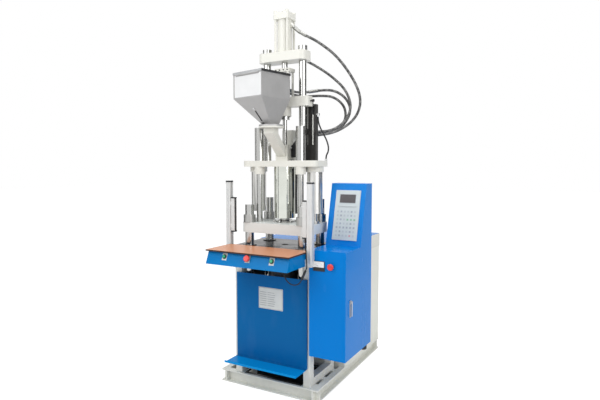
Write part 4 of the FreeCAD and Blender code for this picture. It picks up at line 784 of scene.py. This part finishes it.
# Painted shade: the sight slot is a black block on the funnel, standing for the dark inside of
# the hopper.
slot = Shape()
slot.block((0.0108, 0.0020, along.length),
           Matrix.Translation((slot_high + slot_low) / 2) @ slot_axes, 0.0005)
slot.piece("sight_slot", BLACK, "black_plastic", "hopper")
stud = Shape()
stud.screw(HOPPER @ Vector((-0.0375, -0.1140, 1.8630)), off_funnel, 0.0078, 0.007)
stud.piece("hopper_stud", ALUMINIUM, "aluminium", "hopper")
slot_nut = Shape()
slot_nut.nut(HOPPER @ Vector((-0.0228, -0.0474, 1.7760)), off_funnel, 0.0075, 0.006)
slot_nut.piece("sight_slot_nut", BLACK_OXIDE, "ground_steel", "hopper")
print("hopper sticker, seal, slot, stud and nut")

# %% [markdown]
# ## Screws on the plates
# Socket screws hold the flanges, the cage, the hub and the lift cylinders, and six painted
# heads hold the front panel. The screws of one body share one mesh.

# %% Set the screws
LIFT_X, LIFT_Y = 0.221, 0.014
LIFT_FLANGE_Z, HUB_FACE_Z, CAGE_FACE_Y, CAGE_Z = 1.224, 1.8360, -0.044, 2.139
TOP_PLATE_Z, FEED_BLOCK_Z = 2.255, 1.538
PANEL_FACE_Y = -0.192

seat_screws = Shape()
for x in (-LIFT_X, LIFT_X):
    for place in round_places((x, LIFT_Y, LIFT_FLANGE_Z), 0.0475, 6, 0.5):
        seat_screws.screw(place, UP, 0.0035, 0.003)
for half_x, half_y, level in ((0.15, 0.045, TOP_PLATE_Z), (0.1, 0.085, FEED_BLOCK_Z)):
    for x in (-half_x, half_x):
        for y in (-half_y, half_y):
            seat_screws.screw((x, y, level), UP, 0.006, 0.005)
seat_screws.piece("socket_screws_seat", BLACK_OXIDE, "ground_steel", "seat")

injection_screws = Shape()
for place in round_places((0, 0, HUB_FACE_Z), 0.0385, 6):
    injection_screws.screw(place, -UP, 0.0034, 0.0045)
for x in (-0.044, -0.015, 0.015, 0.044):
    injection_screws.screw((x, CAGE_FACE_Y, CAGE_Z), FRONTWARD, 0.0042, 0.004)
injection_screws.piece("socket_screws_injection", BLACK_OXIDE, "ground_steel", "injection")

panel_screws = Shape()
for x in (0.258, -0.258):
    for z in (0.255, 0.517, 0.762):
        panel_screws.screw((x, PANEL_FACE_Y, z), FRONTWARD, 0.0042, 0.002)
panel_screws.piece("panel_screws", PANEL_BLUE, "blue_paint", "base")
print("20 screws on the seat, 10 on the injection unit and 6 painted heads")

# %% [markdown]
# ## Collars, boot and locating ring
# A flange collar closes the head of each lift cylinder, and a ring with cap screws on the
# platen shows where the nozzle comes down. Both are open in the middle, so their profile closes
# on itself. A black boot covers the wires beside the feed block: a stack of bars on a bracket.

# %% Add the collars, the boot and the ring
RING_SIDES = 48
PLATEN_TOP_Z = 1.1221
BELLOWS, BELLOWS_FOOT, BELLOWS_PITCH = 7, 1.5620, 0.0108

collars = Shape()
for x in (-LIFT_X, LIFT_X):
    collars.turned([(0.0562, 0), (0.0585, 0.0012), (0.0598, 0.003), (0.0598, 0.0335),
                    (0.0585, 0.0352), (0.0562, 0.0355)],
                   facing((x, LIFT_Y, 1.4622)), RING_SIDES, hollow=True)
collars.piece("lift_cylinder_collars", CREAM, "cream_paint", "seat")

boot = Shape()
for level in range(BELLOWS):
    low = BELLOWS_FOOT + level * BELLOWS_PITCH
    boot.bar((0.0466, 0.0030, low), (0.0925, 0.0290, low + 0.0074), 0.0018)
bracket = [(0.0462, 1.5600), (0.0462, 1.6360), (0.0560, 1.6460), (0.0840, 1.6790),
           (0.0905, 1.6800), (0.0905, 1.5600)]
front, back = ([boot.mesh.verts.new((x, y, z)) for x, z in bracket] for y in (0.0050, 0.0270))
boot.mesh.faces.new(front)
boot.mesh.faces.new(back[::-1])
for step in range(len(bracket)):
    boot.mesh.faces.new((front[step - 1], back[step - 1], back[step], front[step]))
boot.piece("wire_boot", MATT_BLACK, "hose_rubber", "seat")

locating = Shape()
locating.turned([(0.0370, 0), (0.0620, 0), (0.0620, 0.0085), (0.0600, 0.0105), (0.0420, 0.0125),
                 (0.0370, 0.0105)], facing((0, 0, PLATEN_TOP_Z)), RING_SIDES, hollow=True)
for place in round_places((0, 0, PLATEN_TOP_Z), 0.0745, 6, 0.5):
    locating.screw(place, UP, 0.0088, 0.013)
locating.piece("locating_ring", GROUND, "ground_steel", "clamp")
print("collars, boot and ring")

# %% [markdown]
# ## The stroke scale
# The black channel beside the injection columns guides two sliders on two rods. A bright strip
# along each rod gives the line of light that the photograph shows. Two screws hold the cap.

# %% Dress the stroke scale
scale_low, scale_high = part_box("stroke_scale")
scale_middle = (scale_low.x + scale_high.x) / 2
rod_strips = Shape()
for x in (scale_middle - 0.020, scale_middle + 0.020):
    rod_strips.bar((x - 0.0045, scale_low.y + 0.0062, 1.640),
                   (x + 0.0045, scale_low.y + 0.0092, 1.896), 0.001)
rod_strips.piece("scale_rods_bright", CHROME, "chrome", "seat")
scale_screws = Shape()
for x in (scale_middle - 0.026, scale_middle + 0.026):
    scale_screws.screw((x, 0.0535, 1.907), FRONTWARD, 0.004, 0.003)
scale_screws.piece("scale_screws", ALUMINIUM, "aluminium", "seat")
print("scale dressed between", scale_low.x, "and", scale_high.x)

# %% [markdown]
# ## The keypad
# The keypad lies on the console's sloping face: a pale membrane with a dark display above seven
# rows of six small keys, a few of them tinted and none with a word on it. A real membrane is
# embossed, so each key is a thin raised block. A matrix with its axes along the slope turns
# flat work into sloping work.

# %% Build the keypad
CONSOLE_FOOT = Vector((0.4285, 0.008, 0.986))
CONSOLE_BROW = Vector((0.4285, 0.104, 1.388))
ACROSS = Vector((1, 0, 0))
PAD_THICK = 0.005
KEY_SIZE, KEY_TALL = 0.0125, 0.0018
COLUMNS, ROWS = 6, 7
COLUMN_PITCH, ROW_PITCH, FIRST_ROW = 0.024, 0.0262, 0.030
DISPLAY_Y = 0.2735

up_slope = (CONSOLE_BROW - CONSOLE_FOOT).normalized()
off_slope = ACROSS.cross(up_slope)
slope_axes = Matrix((ACROSS, up_slope, off_slope)).transposed().to_4x4()
PAD = Matrix.Translation(CONSOLE_FOOT + up_slope * 0.037 + ACROSS * 0.004) @ slope_axes


def on_pad(x, y, above):
    return PAD @ at(x, y, PAD_THICK + above)


membrane = Shape()
membrane.block((0.174, 0.330, PAD_THICK), on_pad(0, 0.165, -PAD_THICK / 2), 0.0016)
membrane.block((0.152, 0.186, 0.0006), on_pad(0, 0.107, 0.0002), 0.0002)
membrane.piece("keypad_membrane", MEMBRANE, "keypad", "base", "keypad")
display = Shape()
display.block((0.108, 0.054, 0.0012), on_pad(0, DISPLAY_Y, 0.0005), 0.0004)
display.piece("keypad_display", GLASS, "keypad", "base", "keypad")
surround = Shape()
for x, y, wide, tall in ((0, 0.3020, 0.112, 0.0016), (0, 0.2450, 0.112, 0.0016),
                         (-0.0552, DISPLAY_Y, 0.0016, 0.0586),
                         (0.0552, DISPLAY_Y, 0.0016, 0.0586),
                         (0, 0.2225, 0.136, 0.0014), (0, 0.2170, 0.136, 0.0010)):
    surround.block((wide, tall, 0.0014), on_pad(x, y, 0.0006), 0.0004)
surround.piece("keypad_trim", moulded("keypad_ink", (0.32, 0.34, 0.37), 0.4), "keypad", "base",
               "keypad")

TINTS = {"pale": ((0.43, 0.475, 0.51), 0.04), "grey": ((0.33, 0.37, 0.43), 0.06),
         "green": ((0.24, 0.43, 0.31), 0.05), "red": ((0.56, 0.30, 0.33), 0.05)}
TINTED = {(4, 3): "green", (4, 4): "green", (4, 5): "green", (0, 4): "red"}
KEYS = {tint: Shape() for tint in TINTS}
for row in range(ROWS):
    for column in range(COLUMNS):
        tint = TINTED.get((row, column), "grey" if column % 3 == 1 or row == 2 else "pale")
        place = on_pad((column - 2.5) * COLUMN_PITCH, FIRST_ROW + row * ROW_PITCH, KEY_TALL / 2)
        KEYS[tint].block((KEY_SIZE, KEY_SIZE, KEY_TALL), place, 0.0007)
for tint, (colour, tone) in TINTS.items():
    finish = moulded(f"key_{tint}", colour, 0.35, 1500, 0.00002, tone)
    KEYS[tint].piece(f"keypad_keys_{tint}", finish, "keypad", "base", "keypad")
print("keypad with", ROWS * COLUMNS, "keys")

# %% [markdown]
# ## The meter
# The panel meter has a white face behind a black frame, with a plain arc of ticks and a
# needle, and no figures. The ticks are small blocks stepped round the needle's pivot.

# %% Dress the meter
METER_FACE_Y = -0.2323
METER_PIVOT = Vector((0.374, METER_FACE_Y - 0.0014, 0.8845))
TICKS, TICK_STEP, TICK_START, TICK_REACH = 9, 15, 150, 0.027
NEEDLE_TILT = 40

meter = Shape()
meter.bar((0.3385, METER_FACE_Y - 0.0012, 0.8840), (0.4095, METER_FACE_Y, 0.9195), 0.0004)
meter.piece("meter_face", WHITE, "label", "base")
marks = Shape()
for step in range(TICKS):
    angle = math.radians(TICK_START - step * TICK_STEP)
    place = METER_PIVOT + TICK_REACH * Vector((math.cos(angle), 0, math.sin(angle)))
    marks.block((0.005 if step % 4 == 0 else 0.0032, 0.0004, 0.0009),
                Matrix.Translation(place) @ Matrix.Rotation(-angle, 4, "Y"), 0.0001)
marks.block((0.024, 0.0005, 0.0008), at(0.364, METER_FACE_Y - 0.0016, 0.8935)
            @ Matrix.Rotation(math.radians(NEEDLE_TILT), 4, "Y"), 0.0001)
marks.piece("meter_marks", BLACK, "black_plastic", "base")
print("meter with", TICKS, "ticks")

# %% [markdown]
# ## Data plate and button rings
# The data plate is riveted on, with a ruled border and bare fields, since the machine has no
# name. A shader would need a map for these lines, and thin bars do without. Each push button
# sits in a bright ring, which makes it read as a button from afar.

# %% Rule the plate and ring the buttons
PLATE_FACE_Y = -0.1931
FIELDS, FIELD_FOOT, FIELD_PITCH, FIELD_TALL = 7, 0.582, 0.0145, 0.0034
BUTTON_FACE = Vector((0, -0.924439, 0.381331))


def ruled(left, low, right, high, depth):
    rules.bar((left, PLATE_FACE_Y - depth, low), (right, PLATE_FACE_Y, high), 0.0001)


rules = Shape()
for border in ((-0.088, 0.6985, 0.092, 0.7002), (-0.088, 0.5630, 0.092, 0.5647),
               (-0.0882, 0.5635, -0.0868, 0.7), (0.0908, 0.5635, 0.0922, 0.7)):
    ruled(*border, 0.0008)
for row in range(FIELDS):
    foot = FIELD_FOOT + row * FIELD_PITCH
    ruled(-0.080, foot, -0.030, foot + FIELD_TALL, 0.0006)
    ruled(-0.022, foot, 0.030 + 0.004 * (row % 3), foot + FIELD_TALL, 0.0006)
rules.piece("data_plate_rules", moulded("plate_ink", (0.30, 0.31, 0.32), 0.5), "label", "base")
rivets = Shape()
for x in (-0.086, 0.090):
    for z in (0.565, 0.698):
        rivets.turned([(0.0028, 0), (0.0026, 0.0008), (0.0018, 0.0016), (0.0005, 0.002)],
                      facing((x, PLATE_FACE_Y, z), FRONTWARD), 14)
rivets.piece("data_plate_rivets", ZINC, "ground_steel", "base")

rings = Shape()
for button in ("button_left", "button_right"):
    low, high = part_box(button)
    rings.turned([(0.0147, 0), (0.0152, 0.0012), (0.0150, 0.0030), (0.0136, 0.0034),
                  (0.0130, 0.0020)],
                 facing((low + high) / 2 - BUTTON_FACE * 0.0005, BUTTON_FACE), 32)
rings.piece("button_rings", ZINC, "ground_steel", "base")
print("plate with", FIELDS, "fields, 4 rivets and 2 rings")

# %% [markdown]
# ## Posts and light curtains
# Each post is a coated extrusion with a groove down its faces and a black end cap. The light
# curtain beside it is a pale bar with a black lens on the side that faces the opening, held
# by black brackets at its ends.

# %% Dress the posts and curtains
POSTS = ((-0.326, -0.190), (0.326, -0.250))
CURTAINS = ((-0.2905, -0.190, 1), (0.2905, -0.250, -1))
POST_HALF = 0.0182
GROOVE_LOW, GROOVE_HIGH, GROOVE_HALF = 0.905, 1.4005, 0.0035

grooves = Shape()
trim = Shape()
for x, y in POSTS:
    trim.bar((x - POST_HALF, y - POST_HALF, 1.3925), (x + POST_HALF, y + POST_HALF, 1.4049),
             0.0012)
    grooves.bar((x - GROOVE_HALF, y - 0.0178, GROOVE_LOW),
                (x + GROOVE_HALF, y - 0.0174, GROOVE_HIGH), 0.0001)
    for side in (x - 0.0176, x + 0.0176):
        grooves.bar((side - 0.0002, y - GROOVE_HALF, GROOVE_LOW),
                    (side + 0.0002, y + GROOVE_HALF, GROOVE_HIGH), 0.0001)
grooves.piece("post_grooves", ALUMINIUM, "aluminium", "base")
for x, y, inward in CURTAINS:
    for low, high in ((1.0575, 1.0660), (1.2845, 1.2925)):
        trim.bar((x - 0.0150, y - 0.0150, low), (x + 0.0150, y + 0.0150, high), 0.001)
    lens_x = x + inward * 0.0142
    trim.bar((lens_x - 0.0012, y - 0.0120, 1.066), (lens_x + 0.0012, y + 0.0040, 1.2845))
trim.piece("curtain_trim", BLACK, "black_plastic", "base")
print(len(POSTS), "posts and", len(CURTAINS), "curtains")

# %% [markdown]
# ## The cabinet's trim
# The door has a slim chromed handle on a bright plate with a raised rim. Black cable glands
# hang under the cabinet, where the wires go in: two small ones and a large one with a collar.

# %% Dress the cabinet
PLATE_BACK_X, PLATE_SKIN_X, PLATE_RIM_X = 0.5516, 0.5530, 0.5560
CABINET_FLOOR_Z = 0.3150
ENTRY_RADIUS = 0.0105

handle = Shape()
handle.bar((PLATE_BACK_X, -0.1700, 0.5805), (PLATE_SKIN_X, -0.1500, 0.6815), 0.0004)
for y in (-0.1705, -0.1495):
    handle.bar((PLATE_BACK_X, y - 0.0012, 0.580), (PLATE_RIM_X, y + 0.0012, 0.682))
for z in (0.5805, 0.6815):
    handle.bar((PLATE_BACK_X, -0.1700, z - 0.0012), (PLATE_RIM_X, -0.1500, z + 0.0012))
handle.piece("handle_escutcheon", ALUMINIUM, "aluminium", "cabinet_door")
entries = Shape()
for x, y in ((0.400, 0.020), (0.370, -0.090)):
    gland(entries, (x, y, CABINET_FLOOR_Z), -UP, ENTRY_RADIUS, ENTRY_RADIUS * 1.7)
entries.turned([(0.0170, 0), (0.0170, 0.0120), (0.0235, 0.0160), (0.0235, 0.0420),
                (0.0195, 0.0470)], facing((0.512, 0.168, CABINET_FLOOR_Z), -UP), 28)
entries.piece("cabinet_glands", MATT_BLACK, "black_plastic", "base")
print("handle plate and 3 cable glands")

# %% [markdown]
# ## Inside the frame
# Two dark parts are painted shade: they fill what shows black between the sheets. A black tray
# lies in the base under the hydraulics, over the floor that would show there, and a black bar
# stands between the left legs. What stands there can't be made out, so they are simple.

# %% Lay the painted shade: a black tray and a black bar
LEFT, RIGHT, FRONT, BACK = -0.3400, 0.2900, -0.1400, 0.8700
TRAY_FLOOR, TRAY_WALL, TRAY_SHEET = 0.0010, 0.0160, 0.0025

# Painted shade: a black tray over the floor inside the base.
tray = Shape()
tray.bar((LEFT, FRONT, TRAY_FLOOR), (RIGHT, BACK, 0.0040), 0.0008)
for low, high in (((LEFT, FRONT), (RIGHT, FRONT + TRAY_SHEET)),
                  ((LEFT, BACK - TRAY_SHEET), (RIGHT, BACK)),
                  ((LEFT, FRONT), (LEFT + TRAY_SHEET, BACK)),
                  ((RIGHT - TRAY_SHEET, FRONT), (RIGHT, BACK))):
    tray.bar((*low, TRAY_FLOOR), (*high, TRAY_WALL), 0.0008)
tray.piece("base_painted_shade_tray", MATT_BLACK, "black_plastic", "base")
# Painted shade: a black bar between the left legs.
duct = Shape()
duct.bar((-0.2640, -0.1210, 0.7000), (-0.2410, 0.1210, 0.7900), 0.0015)
duct.bar((-0.2655, -0.1210, 0.7860), (-0.2395, 0.1210, 0.7930), 0.0012)
duct.piece("frame_painted_shade_bar", MATT_BLACK, "black_plastic", "base")
print("drip tray and wire duct")

# %% [markdown]
# ## The studio's floor and background
# The picture has a white background with hardly any shadow. A floor that glows for every ray
# would light the machine from below. So a Mix Shader tells rays apart: those that are seen,
# straight or mirrored, meet a glowing white, and the others a plain floor and a softer sky.


# %% Floor and background
SEEN = ("Camera", "Glossy", "Transmission")
FLOOR_LEVEL = -0.0005


def stage_sheet(name, size, where, material):
    data = bpy.data.meshes.new(name)
    corners = [(size[0] * x, size[1] * y, 0)
               for x, y in ((-0.5, -0.5), (0.5, -0.5), (0.5, 0.5), (-0.5, 0.5))]
    data.from_pydata(corners, [], [(0, 1, 2, 3)])
    data.materials.append(material)
    thing = placed(name, data)
    thing.matrix_world = where
    return thing


FLOOR = Finish("studio_floor", (0.80, 0.80, 0.80), 0.9)
lit = Socket(FLOOR.tree, FLOOR.shader.outputs[0])
pale = FLOOR.node("BsdfDiffuse", sockets={"Color": (0.45, 0.45, 0.45, 1)})
glow = FLOOR.node("Emission", sockets={"Strength": 0.80})
glowing = FLOOR.node("AddShader", sockets={0: pale, 1: glow})
ground = FLOOR.node("MixShader", sockets={0: FLOOR.rays(*SEEN), 1: lit, 2: glowing})
join(FLOOR.tree, FLOOR.tree.nodes["Material Output"].inputs["Surface"], ground)
stage_sheet("studio_floor", (60, 60), at(0, 0, FLOOR_LEVEL), FLOOR.material)

world = bpy.data.worlds.new("studio")
bpy.context.scene.world = world
world.use_nodes = True
air = Graph(world.node_tree)
backdrop = air.tree.nodes["Background"]
join(air.tree, backdrop.inputs["Color"], (1, 1, 1, 1))
join(air.tree, backdrop.inputs["Strength"], 1.0)
white = Socket(air.tree, backdrop.outputs[0])
soft = air.node("Background", sockets={"Color": (0.96, 0.98, 1.0, 1), "Strength": 0.58})
sky = air.node("MixShader", sockets={0: air.rays(*SEEN), 1: soft, 2: white})
join(air.tree, air.tree.nodes["World Output"].inputs["Surface"], sky)
print("floor and background")

# %% [markdown]
# ## Dark cards and lamps
# In an all-white room chrome would be white too. Four dark cards stand round the machine and
# are seen only in reflections, where they draw the streaks that make chrome look like chrome.
# Three large lamps give the soft light: a key from the left, a fill from the right and one
# overhead.

# %% Cards, lamps and view
CARD = Finish("dark_card", (0.02, 0.02, 0.02), 0.9)
CARD_HEIGHT, CARD_MIDDLE, CARD_DISTANCE = 3.8, 1.7, 4.2
CARDS = [(104, 2.2), (-122, 2.0), (66, 2.0), (-76, 0.5)]
camera_bearing = math.atan2(camera.location.y, camera.location.x)
for number, (degrees, width) in enumerate(CARDS):
    bearing = camera_bearing + math.radians(degrees)
    out = Vector((math.cos(bearing), math.sin(bearing), 0))
    card = stage_sheet(f"dark_card_{number}", (width, CARD_HEIGHT),
                       facing(out * CARD_DISTANCE + UP * CARD_MIDDLE, -out), CARD.material)
    for ray in ("camera", "diffuse", "shadow", "transmission", "volume_scatter"):
        setattr(card, f"visible_{ray}", False)

LAMP_AIM = Vector((0, 0, 1.2))
LAMPS = {"key_lamp": ((-1.4, -3.6, 3.6), 2.6, 80), "fill_lamp": ((3.8, -1.8, 2.6), 2.4, 66),
         "top_lamp": ((0.2, -0.2, 4.8), 2.4, 68)}
for name, (place, size, power) in LAMPS.items():
    light = bpy.data.lights.new(name, "AREA")
    light.shape = "SQUARE"
    light.size = size
    light.energy = power
    lamp = placed(name, light)
    aim = (LAMP_AIM - Vector(place)).to_track_quat("-Z", "Y").to_matrix().to_4x4()
    lamp.matrix_world = Matrix.Translation(place) @ aim
bpy.context.scene.view_settings.view_transform = "Standard"
print(len(CARDS), "cards and", len(LAMPS), "lamps")
